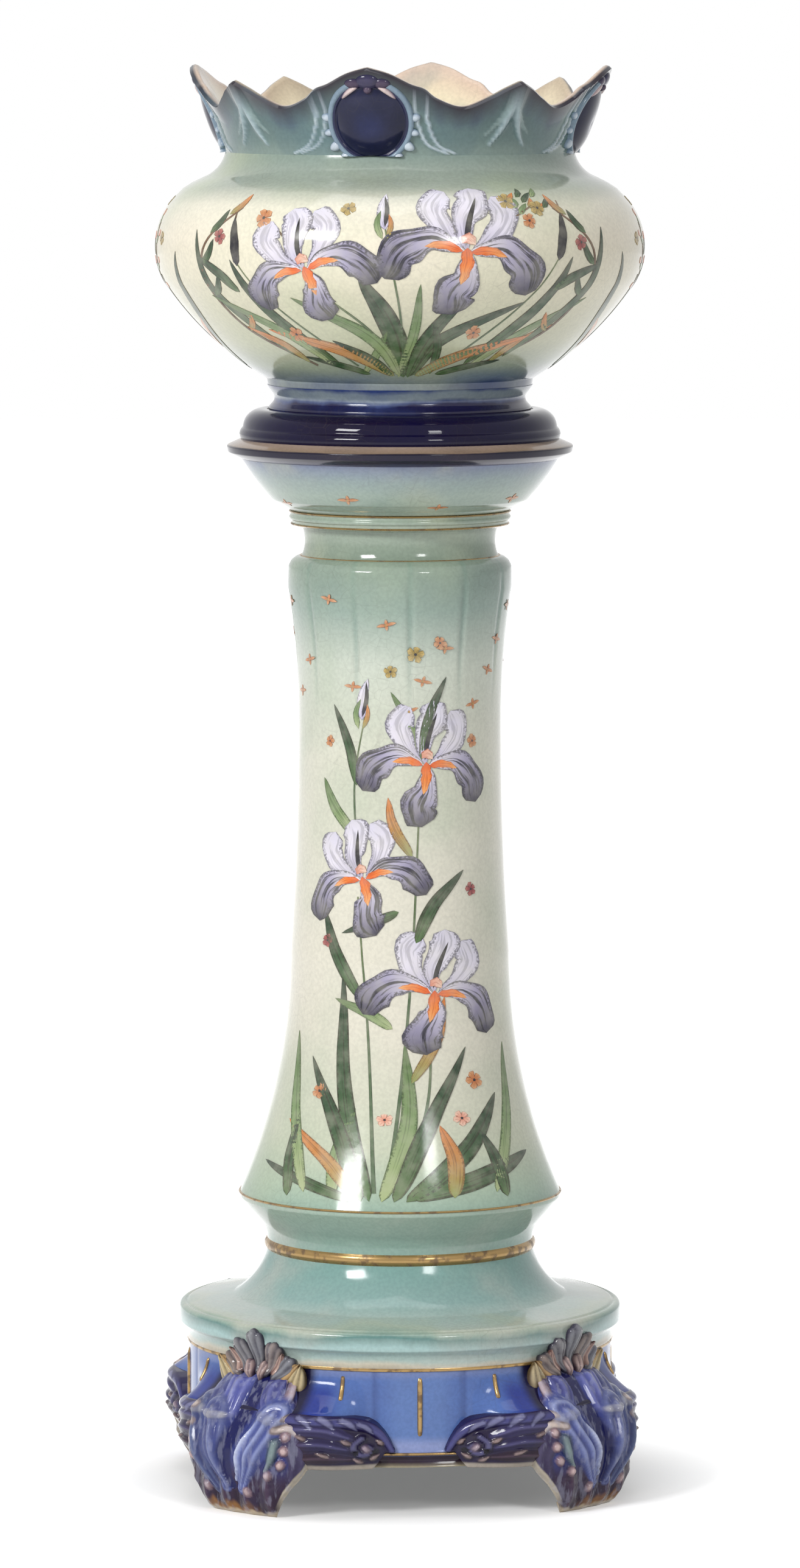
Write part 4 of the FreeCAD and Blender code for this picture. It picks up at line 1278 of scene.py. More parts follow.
# ------------------------------------------------------------ column
@dataclass
class Column:
    """The pedestal's turned parts, from the plinth to the seat."""

    finishes: Finishes
    wall: float = 9.0
    flutes: int = 12
    groove: float = 0.9
    groove_from: float = 350.0      # height above the shaft's foot at which the grooves start
    groove_to: float = 436.0
    shaft_form: Form = field(init=False)
    capital_form: Form = field(init=False)

    def __post_init__(self) -> None:
        """Draws the outer lines of the shaft and the capital."""
        self.shaft_line = outline((113.6, 0), (
            Run(77.2, 171.8, (87, 81.4)), Run(71.3, 343.5, (72.1, 271.2)), Run(78.7, 429.4, (73.2, 384.2)),
            Run(78.7, 440.7), Run(69.5, 452, (76.1, 449))), 5.0)
        self.capital_line = outline((77.6, 0), (Run(80, 2.4), Run(89.8, 7.2), Run(111.5, 36, (100.7, 20.2))))
        self.shaft_form = Form(self.shaft_line, level("shaft"))
        self.capital_form = Form(self.capital_line, level("capital"))

    def hollow(self, line: list[Point]) -> list[Point]:
        """Closes an outer line with the wall's inner line."""
        return line + [(r - self.wall, z) for r, z in reversed(line)]

    def ring(self, name: str, node: str, runs: tuple[Run, ...], start: Point, material: bpy.types.Material,
             slot: Slot) -> None:
        """Turns one hollow section of the stand in place of its node."""
        piece = turned(name, self.hollow(outline(start, runs)), level(node))
        seat_piece(piece, material, Body.STAND, slot, node)

    def build_plinth(self) -> None:
        """Turns the disc and the cove that rises from it."""
        outer = outline((149.7, 0), (
            Run(151.0, 2.0), Run(156.5, 14.2, (151.9, 10.0)), Run(156.5, 22.4),
            Run(152.8, 27.2, (156.0, 25.6)),
            Run(151.2, 26.6), Run(149.6, 28.0), Run(118, 32.25), Run(94.2, 64.5, (101.7, 48.25))))
        inner = [(85.2, 64.5), (92.0, 47.0), (109.0, 23.5), (141.0, 19.5), (143.0, 10.0), (140.7, 0)]
        piece = turned("plinth_disc", outer + inner, level("plinth"), WIDE_STEPS)
        seat_piece(piece, self.finishes.teal, Body.STAND, Slot.TEAL, "plinth")

    def build_lines(self) -> None:
        """Thin gilt lines round the mouldings."""
        for name, radius, height, wide in (("gilt_line_plinth", 150.5, 103.6, 1.5),
                                           ("gilt_line_skirt", 113.9, 208.2, 0.9),
                                           ("gilt_line_shoulder", 70.3, 659.4, 0.9),
                                           ("gilt_line_astragal_low", 76.6, 682.2, 0.8),
                                           ("gilt_line_astragal_high", 77.7, 691.0, 0.8)):
            half = [(radius - 1.2, height - wide), (radius + 0.2, height - 0.7 * wide),
                    (radius + 0.6, height),
                    (radius + 0.2, height + 0.7 * wide), (radius - 1.2, height + wide)]
            piece = turned(name, half, 0.0, WIDE_STEPS)
            seat_piece(piece, self.finishes.gold, Body.STAND, Slot.GILDING)

    def build_shaft(self) -> None:
        """Turns the shaft and presses its arched grooves."""
        piece = turned("fluted_shaft", self.hollow(self.shaft_line), level("shaft"), FLUTED_STEPS)
        points = read_points(piece) / MM
        radius = np.hypot(points[:, 0], points[:, 1])
        height = points[:, 2] - level("shaft")
        outside = radius > np.interp(height, self.shaft_form.z, self.shaft_form.r) - 0.5 * self.wall
        angle = np.arctan2(points[:, 0], -points[:, 1])
        wave = np.abs(np.sin(self.flutes / 2 * angle))
        rise = smooth(height, self.groove_from, self.groove_from + 50)
        rise = rise * smooth(-height, -self.groove_to, -self.groove_to + 6)
        depth = self.groove * (1 - smooth(wave, 0, 0.3)) * rise
        hollow = 0.45 * smooth(wave, 0.2, 1.0) * rise
        sunk = np.where(outside, depth + hollow, 0)
        scale = (radius - sunk) / np.maximum(radius, 1e-6)
        points[:, :2] *= scale[:, None]
        write_points(piece, points * MM)
        seat_piece(piece, self.finishes.shaft, Body.STAND, Slot.CREAM, "shaft")

    def build_seat(self) -> None:
        """Turns the top plate and the raised seat with its dish."""
        plate = outline((111.5, 0), (Run(113.2, 1.0), Run(120.4, 4.4), Run(121.2, 5.0), Run(121.9, 9.0),
                                     Run(121.0, 10.0), Run(113.0, 13.6), Run(112.2, 14)))
        piece = turned("moulded_plate", plate + [(97.0, 14), (97.0, 0)], level("top_plate"), WIDE_STEPS)
        seat_piece(piece, self.finishes.plate, Body.STAND, Slot.NAVY, "top_plate")
        seat = outline((112.2, 0), (Run(110.6, 8.4, (113.0, 4.6)), Run(97.5, 21, (107.4, 16.4)),
                                    Run(93.5, 21),
                                    Run(93.5, 19.5), Run(0.0, 19.5)), 2.0)
        piece = turned("raised_seat", seat + [(0.0, 10.5), (95.0, 10.5), (97.0, 0)], level("seat"),
                       WIDE_STEPS)
        seat_piece(piece, self.finishes.navy, Body.STAND, Slot.NAVY, "seat")

    def paint(self) -> None:
        """Paints the column's panels and the marks round its top."""
        for name, facing, flip in (("column_iris_front", -6.0, 1), ("column_iris_back", 174.0, -1)):
            panel = Painting(name, self.shaft_form, facing, 76.0, flip)
            self.paint_front(panel)
            panel.finish(self.finishes, Body.STAND, Slot.CREAM)
        marks = Painting("column_star_marks", self.shaft_form, 0.0, 76.0)
        for i in range(26):
            angle = i * 137.5
            paint_star(marks, Placed(math.radians(angle % 360) * 76.0, 352 + (i * 37) % 84,
                                     (i * 53) % 40 - 20, 0.9))
        marks.finish(self.finishes, Body.STAND, Slot.CREAM)
        marks = Painting("capital_star_marks", self.capital_form, 0.0, 92.0)
        for i in range(9):
            place = Placed(math.radians(12 + i * 40) * 92.0, 12 + (i * 7) % 12, 0, 1.0)
            paint_star(marks, place)
        marks.finish(self.finishes, Body.STAND, Slot.AQUA)

    @staticmethod
    def paint_front(panel: Painting) -> None:
        """Irises climbing over a clump of sword leaves."""
        leaf, young, straw = Inks.LEAF, Inks.YOUNG, Inks.STRAW
        panel.stroke(((-12, 14), (-20, 120), (-30, 222)), 2.3, Outline.STEM, Inks.STALK)
        panel.stroke(((-6, 14), (8, 160), (16, 300)), 2.4, Outline.STEM, Inks.STALK)
        panel.stroke(((0, 14), (18, 80), (22, 142)), 2.4, Outline.STEM, Inks.STALK)
        panel.stroke(((-30, 240), (-34, 300), (-26, 348)), 1.8, Outline.STEM, Inks.STALK)
        paint_blades(panel, (
            ((-14, 8), (-40, 170), -8, 12, leaf), ((-8, 8), (4, 120), 8, 12, young),
            ((-2, 8), (46, 116), -4, 12, leaf), ((4, 8), (66, 82), 6, 14, leaf),
            ((-18, 8), (-62, 108), 4, 12, leaf), ((-20, 10), (-74, 62), 6, 10, straw),
            ((6, 10), (84, 38), 4, 15, leaf), ((-22, 8), (-88, 30), 3, 9, leaf),
            ((-50, 12), (-80, 124), -5, 10, young), ((52, 12), (82, 116), 6, 10, young),
            ((-26, 150), (-58, 212), -4, 11, leaf), ((12, 190), (50, 240), -6, 11, leaf),
            ((-30, 262), (-62, 304), -5, 10, young), ((10, 250), (-8, 292), -5, 9, straw),
            ((17, 318), (36, 376), -4, 9, leaf), ((14, 318), (-6, 366), 4, 8, young),
            ((-32, 300), (-52, 356), 3, 9, leaf), ((8, 92), (32, 152), 6, 9, straw),
            ((-34, 10), (-26, 74), -4, 10, young), ((28, 10), (24, 62), 5, 11, straw),
            ((-60, 8), (-66, 66), -3, 9, leaf), ((58, 8), (50, 56), 3, 10, leaf),
            ((-4, 130), (-46, 150), 4, 9, young), ((0, 212), (-42, 196), 4, 8, leaf)))
        paint_iris(panel, Placed(24, 152, 10, 1.2))
        paint_iris(panel, Placed(-26, 232, -14, 1.12))
        paint_iris(panel, Placed(20, 312, 6, 1.2))
        paint_bud(panel, Placed(-28, 346, 6, 1.05))
        for x, t, size, ink in (
                (12, 392, 0.9, Inks.OCHRE), (-6, 380, 0.7, Inks.OCHRE), (30, 400, 0.7, Inks.RUST),
                (50, 92, 0.9, Inks.RUST), (38, 66, 0.8, Inks.BLUSH), (-52, 84, 0.8, Inks.RUST),
                (-54, 190, 0.7, Inks.BERRY), (56, 226, 0.7, Inks.BERRY), (-8, 66, 0.7, Inks.BLUSH),
                (60, 330, 0.7, Inks.RUST), (-56, 330, 0.6, Inks.RUST)):
            paint_blossom(panel, Placed(x, t, x, size), ink)

    def build(self) -> None:
        """Makes the turned parts from the plinth up."""
        self.build_plinth()
        fill = self.finishes
        self.ring("gilt_bead", "base_bead", (Run(94.2, 8, (96.2, 4)),), (94.2, 0), fill.gold, Slot.GILDING)
        self.ring("column_bell", "column_base",
                  (Run(100.2, 13.7, (95.7, 7.2)), Run(113.6, 29.5), Run(113.6, 32.5)), (94.2, 0),
                  fill.teal, Slot.TEAL)
        self.build_shaft()
        self.ring("necking_band", "necking", (Run(68.3, 2.2), Run(68.0, 17, (67.2, 10)), Run(69.2, 21)),
                  (69.3, 0),
                  fill.capital, Slot.AQUA)
        self.ring("astragal_band", "astragal",
                  (Run(76, 1.6), Run(76.4, 4.6), Run(77.2, 8.6, (78.2, 6.6)), Run(77.4, 11)),
                  (71.5, 0), fill.capital, Slot.AQUA)
        piece = turned("bell_capital", self.hollow(self.capital_line), level("capital"), WIDE_STEPS)
        seat_piece(piece, fill.capital, Body.STAND, Slot.AQUA, "capital")
        self.build_seat()
        self.build_lines()
        self.paint()


# ------------------------------------------------------------ base
@dataclass
class Base:
    """The footed base: drum, arch hoods, scroll feet, shells and gilt ribs."""

    finishes: Finishes
    sides: int = 4
    radius: float = 149.7
    wall: float = 9.0
    arch: float = 34.7              # floor to the underside of the arches
    top: float = 103.0              # foot of the plinth
    panel_half: float = 31.0        # half width of the light panel
    cove_rise: float = 22.0         # how far the drum flares out to the hoods
    foot_top: float = 97.0
    foot_halves: tuple[Point, ...] = ((0, 45), (8, 48.5), (18, 51), (34.7, 54), (57, 53), (76, 43),
                                      (90, 30), (99, 23))
    foot_faces: tuple[Point, ...] = ((0, 173), (6, 176), (13, 178.5), (29, 181), (50, 180), (68, 174),
                                     (84, 165),
                                     (93, 158), (99, 150))
    foot_corner: float = 0.62       # squareness of a foot's section, 1 for an ellipse

    def crest(self, across: np.ndarray) -> np.ndarray:
        """Height of a hood's top over the floor by distance from the panel's middle."""
        places = (17, 20, 24, 29, 35, 44, 60, 80, 120)
        return np.interp(across, places, (47, 54, 60.5, 66, 69.5, 72, 73.5, 74, 75))

    def drum_radius(self, across: np.ndarray, height: np.ndarray) -> np.ndarray:
        """Radius of the drum with its coves over the hoods."""
        cove = smooth(across, self.panel_half + 1, 66)
        low = self.crest(across)
        share = np.clip((98 - height) / (98 - low), 0, 1)
        flare = self.cove_rise * cove * share ** 1.8
        return self.radius + flare * smooth(height, low - 9, low - 2)

    def fold(self, angle: np.ndarray) -> np.ndarray:
        """Distance from the nearest panel's middle, in millimetres round the drum."""
        side = 360 / self.sides
        return np.abs((angle + side / 2) % side - side / 2) * math.radians(1) * self.radius

    def build_drum(self) -> None:
        """Turns the drum and models its coves, its light panels and the band under them."""
        heights = np.linspace(0, self.top - self.arch, 36)
        line = [(self.radius, float(z)) for z in heights]
        line = [(self.radius - 2.2, 0.0), (self.radius - 0.6, 0.6)] + line[1:]
        inner = [(self.radius - self.wall, self.top - self.arch), (self.radius - self.wall, 0.0)]
        piece = turned("cobalt_drum", line + inner, self.arch, RELIEF_STEPS)
        points = read_points(piece) / MM
        radius, angle = polar(points)
        across, z = self.fold(angle), points[:, 2]
        outside = radius > self.radius - 1
        new = np.where(outside, self.drum_radius(across, z), radius)
        sill = np.exp(-((z - 44.7) / 1.6) ** 2) * smooth(-across, -self.panel_half - 1, -self.panel_half + 3)
        edge = np.exp(-((across - self.panel_half) / 1.6) ** 2) * smooth(z, 44, 48)
        channel = 1.8 * smooth(-z, -43.5, -41.5) * smooth(z, 36, 38.5)
        new = new + np.where(outside, 1.4 * sill - channel - 0.5 * edge, 0)
        colours = layered(
            plain("#5470AE", len(points)),
            ("#6682B8", smooth(-across, -29, -12) * 0.6),
            ("#27388A", smooth(across, 50, 66) * smooth(-z, -101, -84)),
            ("#7E89B2", smooth(z, 95, 102) * 0.6),
            # painted shade: near black in the gap where the drum meets each foot
            ("#181534", smooth(across, 71, 79)),
            # painted highlight: pale blue over the panel just above its sill
            ("#9BA3CE", smooth(-z, -58, -50) * smooth(-across, -32, -22) * 0.65),
            ("#34447C", edge * 0.6),
            ("#2B1B2A", smooth(-z, -45.0, -43.4)),
            ("#A89E82", smooth(-z, -37.0, -36.2)))
        inside = radius < self.radius - self.wall + 1
        colours = np.where(inside[:, None], np.array(tint("#A9A59E")), colours)
        write_points(piece, round_axis(new, np.radians(angle), z))
        write_colours(piece, "glaze", colours)
        finish_shape(piece)
        seat_piece(piece, self.finishes.painted, Body.STAND, Slot.COBALT, "apron")

    def wrap(self, piece: bpy.types.Object, angle: float, flat: np.ndarray, radius: np.ndarray) -> None:
        """Bends points given as (round the drum, up) with their radius about the axis."""
        turn = np.radians(angle) + flat[:, 0] / self.radius
        write_points(piece, round_axis(radius, turn, flat[:, 1]))

    def build_ribs(self, index: int) -> None:
        """The gilt rib in the middle of a panel and the short ones beside it."""
        parts = []
        for across, length, half in ((-54.0, 17.0, 1.7), (0.0, 43.0, 2.1), (54.0, 17.0, 1.7)):
            bar = blank("rib", 8, 20)
            flat = read_points(bar)
            share = flat[:, 1] + 0.5
            width = half * (0.55 + 0.45 * np.sqrt(np.clip(1 - (2 * share - 1) ** 6, 0, 1)))
            round_x = flat[:, 0] * 2
            z = self.top - 4.0 - length * (1 - share)
            x = across + round_x * width
            ends = 1 - 0.9 * np.abs(2 * share - 1) ** 8
            proud = 2.6 * np.sqrt(np.clip(1 - round_x ** 2, 0, 1)) * ends - 0.9
            reach = self.drum_radius(np.abs(x), z) + proud
            self.wrap(bar, 90.0 * (index - 1), np.column_stack([x, z]), reach)
            parts.append(bar)
        piece = join(parts, f"gilt_ribs_{index}")
        thicken(piece, 2.0, -1.0)
        finish_shape(piece)
        seat_piece(piece, self.finishes.gold, Body.STAND, Slot.GILDING, f"apron_ribs_{index}")

    def build_sill(self) -> None:
        """The gilt line under each panel."""
        for index in range(1, self.sides + 1):
            bar = blank(f"gilt_sill_{index}", 40, 6)
            flat = read_points(bar)
            x = flat[:, 0] * 2 * (self.panel_half + 1.5)
            bow = 2 * flat[:, 1]
            z = 44.7 + bow * 1.0
            radius = self.drum_radius(np.abs(x), z) + 1.2 + 1.1 * np.sqrt(np.clip(1 - bow ** 2, 0, 1))
            self.wrap(bar, 90.0 * (index - 1), np.column_stack([x, z]), radius)
            thicken(bar, 2.0, -1.0)
            finish_shape(bar)
            seat_piece(bar, self.finishes.gold, Body.STAND, Slot.GILDING)

    def hood_ridges(self) -> tuple[Ridge, ...]:
        """The rolled edge of a hood, its volute and the flutes that run back from it."""
        rolled = tuple((x, float(self.crest(np.array(x))) - 4.0) for x in (19, 23, 28, 35, 46, 60, 78, 100))
        volute = tuple((36 + (8.5 - 1.0 * i) * math.cos(1.3 - 0.85 * i),
                        50 + (7.5 - 0.9 * i) * math.sin(1.3 - 0.85 * i))
                       for i in range(7))
        # the lobes' pale crests are painted highlights
        lobes = tuple(Ridge(((x - 5, z - 7), (x - 1.5, z - 2.5), (x + 3, z)), wide, 3.2, "#2C2950", 0.4,
                            0.8, 0.8, "#77779C")
                      for x, z, wide in ((37, 67.5, 3.0), (47, 70.5, 3.4), (60, 72, 3.6), (73, 72, 3.4)))
        beads = tuple(Ridge(((x, z), (x + run, z + 2.2)), wide, 3.4, "#3F3138", 0.8, 0.5, 1, "#94807E")
                      for x, z, run, wide in ((26, 53.0, 3, 2.6), (32.5, 42.6, -4, 2.4), (39, 40.6, 4, 2.2),
                                              (46, 54.0, 4, 2.4), (58, 45.5, 6, 2.0), (72, 57.5, 6, 2.2)))
        return (
            Ridge(((46, 58), (62, 64), (92, 63)), 5.6, 3.2, "#2B2450", 0.5, 0.9, 0.9, "#56527E", 2),
            Ridge(((47, 50), (64, 54), (92, 51)), 4.8, 3.0, "#262044", 0.5, 0.9, 0.9, "#4E4A74", 2),
            Ridge(((45, 43), (64, 44), (92, 40)), 4.2, 2.4, "#2A1D2C", 0.5, 0.9, 0.9, "#4C3A4A", 2),
            # the rolled edge's and the volute's paler crests are painted highlights
            Ridge(rolled, 4.8, 4.2, "#231C48", 0.7, 1.0, 0.95, "#4A4A80"),
            Ridge(volute, 3.0, 3.4, "#201A36", 1.0, 0.7, 0.95, "#57547C"),
            Ridge(((29.5, 47.5), (32.5, 45.5)), 2.4, -3.0, "#0F0A16"),
            Ridge(((42, 47), (42.5, 49)), 2.2, -3.0, "#0F0A16"),
            Ridge(((35.2, 49.2), (36.4, 50.6)), 3.0, 4.4, "#5A4C60", 1.0, 1.0, 1.0, "#A795A0"),
            *lobes, *beads,
        )

    def build_hood(self, index: int, side: int) -> None:
        """A scrolled hood between a panel and a foot.

        Args:
            index: The panel, from 1.
            side: +1 for the hood on its right, -1 on its left.
        """
        name = "right" if side > 0 else "left"
        piece = blank(f"arch_hood_{name}_{index}", 84, 56)
        flat = read_points(piece)
        u, v = flat[:, 0] + 0.5, flat[:, 1] + 0.5
        start = 17.0
        x = start + (112 - start) * u
        crest = self.crest(x)
        body = np.minimum(v / 0.82, 1)
        back = smooth(v, 0.82, 1)
        low = np.interp(x, (start, 24, 28, 32), (46.5, 46.0, 40.0, self.arch + 0.4))
        z = low + (crest - low) * body + 1.5 * back
        reach = 2.5 + 24.0 * smooth(x, start - 1, 70)
        section = np.interp(body, (0, 0.12, 0.35, 0.62, 0.85, 1), (0.74, 0.9, 1.0, 0.97, 0.9, 0.8))
        radius = self.radius + reach * section * (1 - back) - 4.0 * back
        raised, colours = carve(np.column_stack([x, z]), plain("#231A38", len(x)), self.hood_ridges())
        radius = radius + raised * (1 - back)
        colours = layered(
            colours,
            ("#43292E", smooth(x, 66, 84) * 0.7 * smooth(-z, -64, -52)),
            ("#ADA396", smooth(-z, -39.4, -37.6) * 0.95))
        points = np.column_stack([side * x, z])
        self.wrap(piece, 90.0 * (index - 1), points, np.minimum(radius, 178.5))
        write_colours(piece, "glaze", colours)
        thicken(piece, 4.0, -1.0 if side > 0 else 1.0)
        finish_shape(piece)
        seat_piece(piece, self.finishes.painted, Body.STAND, Slot.NAVY, f"scroll_{name}_{index}")

    @staticmethod
    def foot_ridges() -> tuple[Ridge, ...]:
        """Relief of a foot; its side with the lower numbers faces the front or back panel."""
        blush, cream = "#7E6B76", "#CDBDB4"
        tips = tuple(Ridge(spine, wide, 5.0, "#8A7C7A", 0.9, 0.5, 1, cream) for spine, wide in (
            (((-33, 71), (-42, 72), (-52, 68)), 3.4), (((-30, 63), (-38, 64), (-46, 59)), 4.2),
            (((33, 73), (41, 73), (50, 68)), 3.2), (((34, 62), (41, 62), (48, 57)), 3.8)))
        beads = tuple(Ridge(((x, z), (x + 0.8, z + 1.2)), 3.6, 4.6, "#8A7078", 1, 1, 1, "#C9B0AE")
                      for x, z in ((-37, 58), (-38, 48), (-37, 38), (38, 48), (37, 37), (-30, 30),
                                   (-14, 17), (24, 18)))
        toes = tuple(Ridge(((x, 27), (1.02 * x, 13), (0.96 * x, -4)), 9.0, 3.6, "#2E1D33", 0.6, 1, 0.9,
                           "#4A3448", 2)
                     for x in (-30, -11, 8, 27, 42))
        return (
            Ridge(((-34, 74), (-44, 58), (-50, 44), (-52, 30)), 12.0, 3.0, "#33294A", 0.7, 0.8, 1,
                  "#4A4262", 3),
            Ridge(((34, 74), (44, 58), (50, 44), (50, 28)), 12.0, 3.0, "#2F2C4C", 0.7, 0.8, 1, "#474868", 3),
            *toes,
            Ridge(((-15, 98), (-16, 86), (-21, 74)), 8.5, 4.6, "#41447E", 0.8, 0.9, 1, "#6C70A6", 3),
            Ridge(((7, 98), (9, 86), (10, 74)), 9.5, 5.6, "#50569A", 0.8, 0.9, 1, "#8489BE", 3),
            Ridge(((22, 96), (25, 86), (26, 76)), 8.0, 4.0, "#474C7C", 0.8, 0.9, 1, "#74799E", 3),
            Ridge(((-27, 97), (-29, 86), (-29, 76), (-34, 68)), 4.6, 5.6, blush, 1, 0.8, 1, "#B5A4AC", 0,
                  2.0, cream),
            Ridge(((34, 74), (33, 58), (30, 44), (25, 30), (15, 18)), 10.5, 8.0, "#363E6C", 1, 0.45, 1,
                  "#6A7599", 3, 3.4,
                  "#A09FA4"),
            Ridge(((17, 72), (17, 58), (15, 45), (12, 33), (5, 20)), 11.0, 9.0, "#414A82", 1, 0.4, 1,
                  "#7C84AC", 3, 3.6,
                  "#ACABB2"),
            Ridge(((-25, 73), (-20, 58), (-14, 45), (-12, 33), (-8, 20)), 12.5, 9.0, "#46508E", 1, 0.4, 1,
                  "#98A2CE", 4, 3.2,
                  "#8F93AE"),
            Ridge(((-31, 54), (-30, 44), (-27, 34)), 4.4, 5.0, "#3D4A60", 1, 0.5, 1, "#7F9090"),
            # a raised crest down the main leaf; its pale blue, near-white top is a painted highlight
            Ridge(((-15, 66), (-11, 56), (-7, 45), (-6, 34), (-4, 25)), 2.6, 9.4, "#8792C8", 0.5, 0.4,
                  0.9, "#CBD2EC"),
            Ridge(((-6, 96), (-5, 76), (-1, 65), (4, 54), (7, 44), (5, 30), (1, 21)), 6.0, -7.0,
                  "#0F1450", 0.9, 0.5, 1),
            *tips, *beads,
        )

    def section(self, share: np.ndarray) -> tuple[np.ndarray, float]:
        """Spaces points evenly round a foot's section.

        Args:
            share: Place from one side, -1, to the other, 1.

        Returns:
            Their turns in radians, and the section's half length as a share of its half width and depth.
        """
        turn = np.linspace(-math.pi / 2, math.pi / 2, 401)
        x = 52 * np.sign(turn) * np.abs(np.sin(turn)) ** self.foot_corner
        y = 42 * np.abs(np.cos(turn)) ** self.foot_corner
        length = np.concatenate([[0], np.cumsum(np.hypot(np.diff(x), np.diff(y)))])
        return np.interp(share, 2 * length / length[-1] - 1, turn), 0.5 * length[-1] / 94

    def build_foot(self, index: int) -> None:
        """A hollow scroll foot, open behind and below, its sides cut away to the arches."""
        turned_by = math.radians(45.0 + 90.0 * (index - 1))
        flip = 1 if index % 2 else -1
        piece = blank(f"scroll_foot_{index}", 150, 124)
        flat = read_points(piece)
        w, v = flat[:, 0] * 2, flat[:, 1] + 0.5
        bottom = np.interp(np.abs(w), (0.43, 0.49, 0.575, 0.72, 0.82, 1), (0, 12, 22, 34, 36.5, 37))
        z = bottom + v * (self.foot_top - bottom)
        half, face = curve_at(self.foot_halves, z), curve_at(self.foot_faces, z)
        back = np.interp(z, (0, 26, 40, 99), (133, 134, 146, 147))
        turn, length = self.section(w)
        corner = self.foot_corner
        x = half * np.sign(w) * np.abs(np.sin(turn)) ** corner
        depth = np.abs(np.cos(turn)) ** corner
        side = np.column_stack([w * length * (half + face - back), z])
        raised, colours = carve(side, self.foot_colours(side), self.foot_ridges())
        over = z - bottom
        raised = raised * smooth(-np.abs(w), -0.98, -0.84) * smooth(-v, -1.0, -0.95)
        cut = smooth(np.abs(w), 0.42, 0.5)
        raised = raised * (1 - cut * smooth(-over, -8, -2)) - 2.2 * cut * smooth(-over, -5, 0)
        raised = raised * (0.25 + 0.75 * smooth(z, 0, 12)) - 2.0 * smooth(-z, -3, 0)
        spread = 2.5 * np.sin(0.35 * side[:, 0]) + 1.2 * np.sin(0.9 * side[:, 0] + 1)
        colours = layered(
            colours,
            ("#9A6C3A", smooth(-z + spread, -10, -5) * smooth(side[:, 0], -26, -4) * 0.9),
            ("#D8C6A8", smooth(-z + 0.4 * spread, -4.6, -2.0) * 0.9),
            ("#B7AD9C", cut * smooth(-over, -8.0, -6.2)))
        out_x = np.sign(w) * np.abs(np.sin(turn)) ** (2 - corner)
        out_y = np.abs(np.cos(turn)) ** (2 - corner)
        size = np.hypot(out_x, out_y)
        x = (x + raised * out_x / size * 0.8) * flip
        y = back + (face - back) * depth + raised * out_y / size
        c, s = math.cos(turned_by), math.sin(turned_by)
        write_points(piece, np.column_stack([x * c + y * s, x * s - y * c, np.maximum(z, 0.0)]) * MM)
        write_colours(piece, "glaze", colours)
        thicken(piece, 7.0, -1.0 if flip > 0 else 1.0)
        points = read_points(piece)
        points[:, 2] = np.maximum(points[:, 2], 0.0)
        write_points(piece, points)
        finish_shape(piece, 1e-7)
        seat_piece(piece, self.finishes.relief, Body.STAND, Slot.COBALT, f"foot_{index}")

    @staticmethod
    def foot_colours(flat: np.ndarray) -> np.ndarray:
        """Ground colours of a foot: blue above, purple-brown below, an amber toe and a bare foot rim."""
        x, z = flat[:, 0], flat[:, 1]
        return layered(
            plain("#2E3778", len(x)),
            ("#5A6090", smooth(z, 76, 96) * 0.6),
            ("#33223C", smooth(-z, -42, -24)),
            ("#2F2034", smooth(np.abs(x), 40, 54) * 0.85),
            ("#2A1A2C", smooth(-z, -22, -12)))

    def lobe(self, place: Point, size: tuple[float, float, float], turn: float, low: str, top: str,
             angle: float, flutes: int = 5, pointed: bool = False) -> bpy.types.Object:
        """One fluted leaf lobe, pressed on the drum or the plinth's cove.

        Args:
            place: Of its root, round the drum from the given angle and over the floor, mm.
            size: Half width, length and rise.
            turn: Degrees by which it leans to the right.
            low: Colour of its edge and grooves.
            top: Colour of its ribs.
            angle: Degrees from the front to the group's middle.
            flutes: Ribs across it.
            pointed: Whether it narrows to a tip that curls outwards.

        Returns:
            The lobe.
        """
        piece, flat = ball(36, 22)
        share = 0.5 + 0.5 * flat[:, 1]
        fan = 1.5 * np.sqrt(np.clip(1 - share, 0.03, 1)) if pointed else 0.45 + 0.75 * share
        wave = np.abs(np.cos(flat[:, 0] * math.pi * flutes / 2))
        a = flat[:, 0] * fan * size[0]
        b = share * size[1] * (1 + 0.06 * wave * share)
        curl = size[2] * (1.0 if pointed else 0.55 + 0.75 * share ** 2)
        c = flat[:, 2] * curl * (0.78 + 0.22 * wave) + (6.0 * share ** 3 if pointed else 2.5 * share ** 2)
        ribs = smooth(flat[:, 2] + 0.5 * share - 0.3, 0.1, 0.8) * (0.2 + 0.8 * wave)
        colours = layered(plain(low, len(flat)), (top, ribs))
        t = math.radians(turn)
        across = place[0] + a * math.cos(t) + b * math.sin(t)
        up = place[1] - a * math.sin(t) + b * math.cos(t)
        on_foot = 5.0 * smooth(-np.abs(across), -28, -16)
        radius = np.interp(up, (84, 92, 100, 108, 116, 124), (152, 151.5, 151, 151.5, 154, 157)) + c
        radius = radius + on_foot * smooth(-up, -104, -96)
        self.wrap(piece, angle, np.column_stack([across, up]), radius)
        write_colours(piece, "glaze", colours)
        return piece

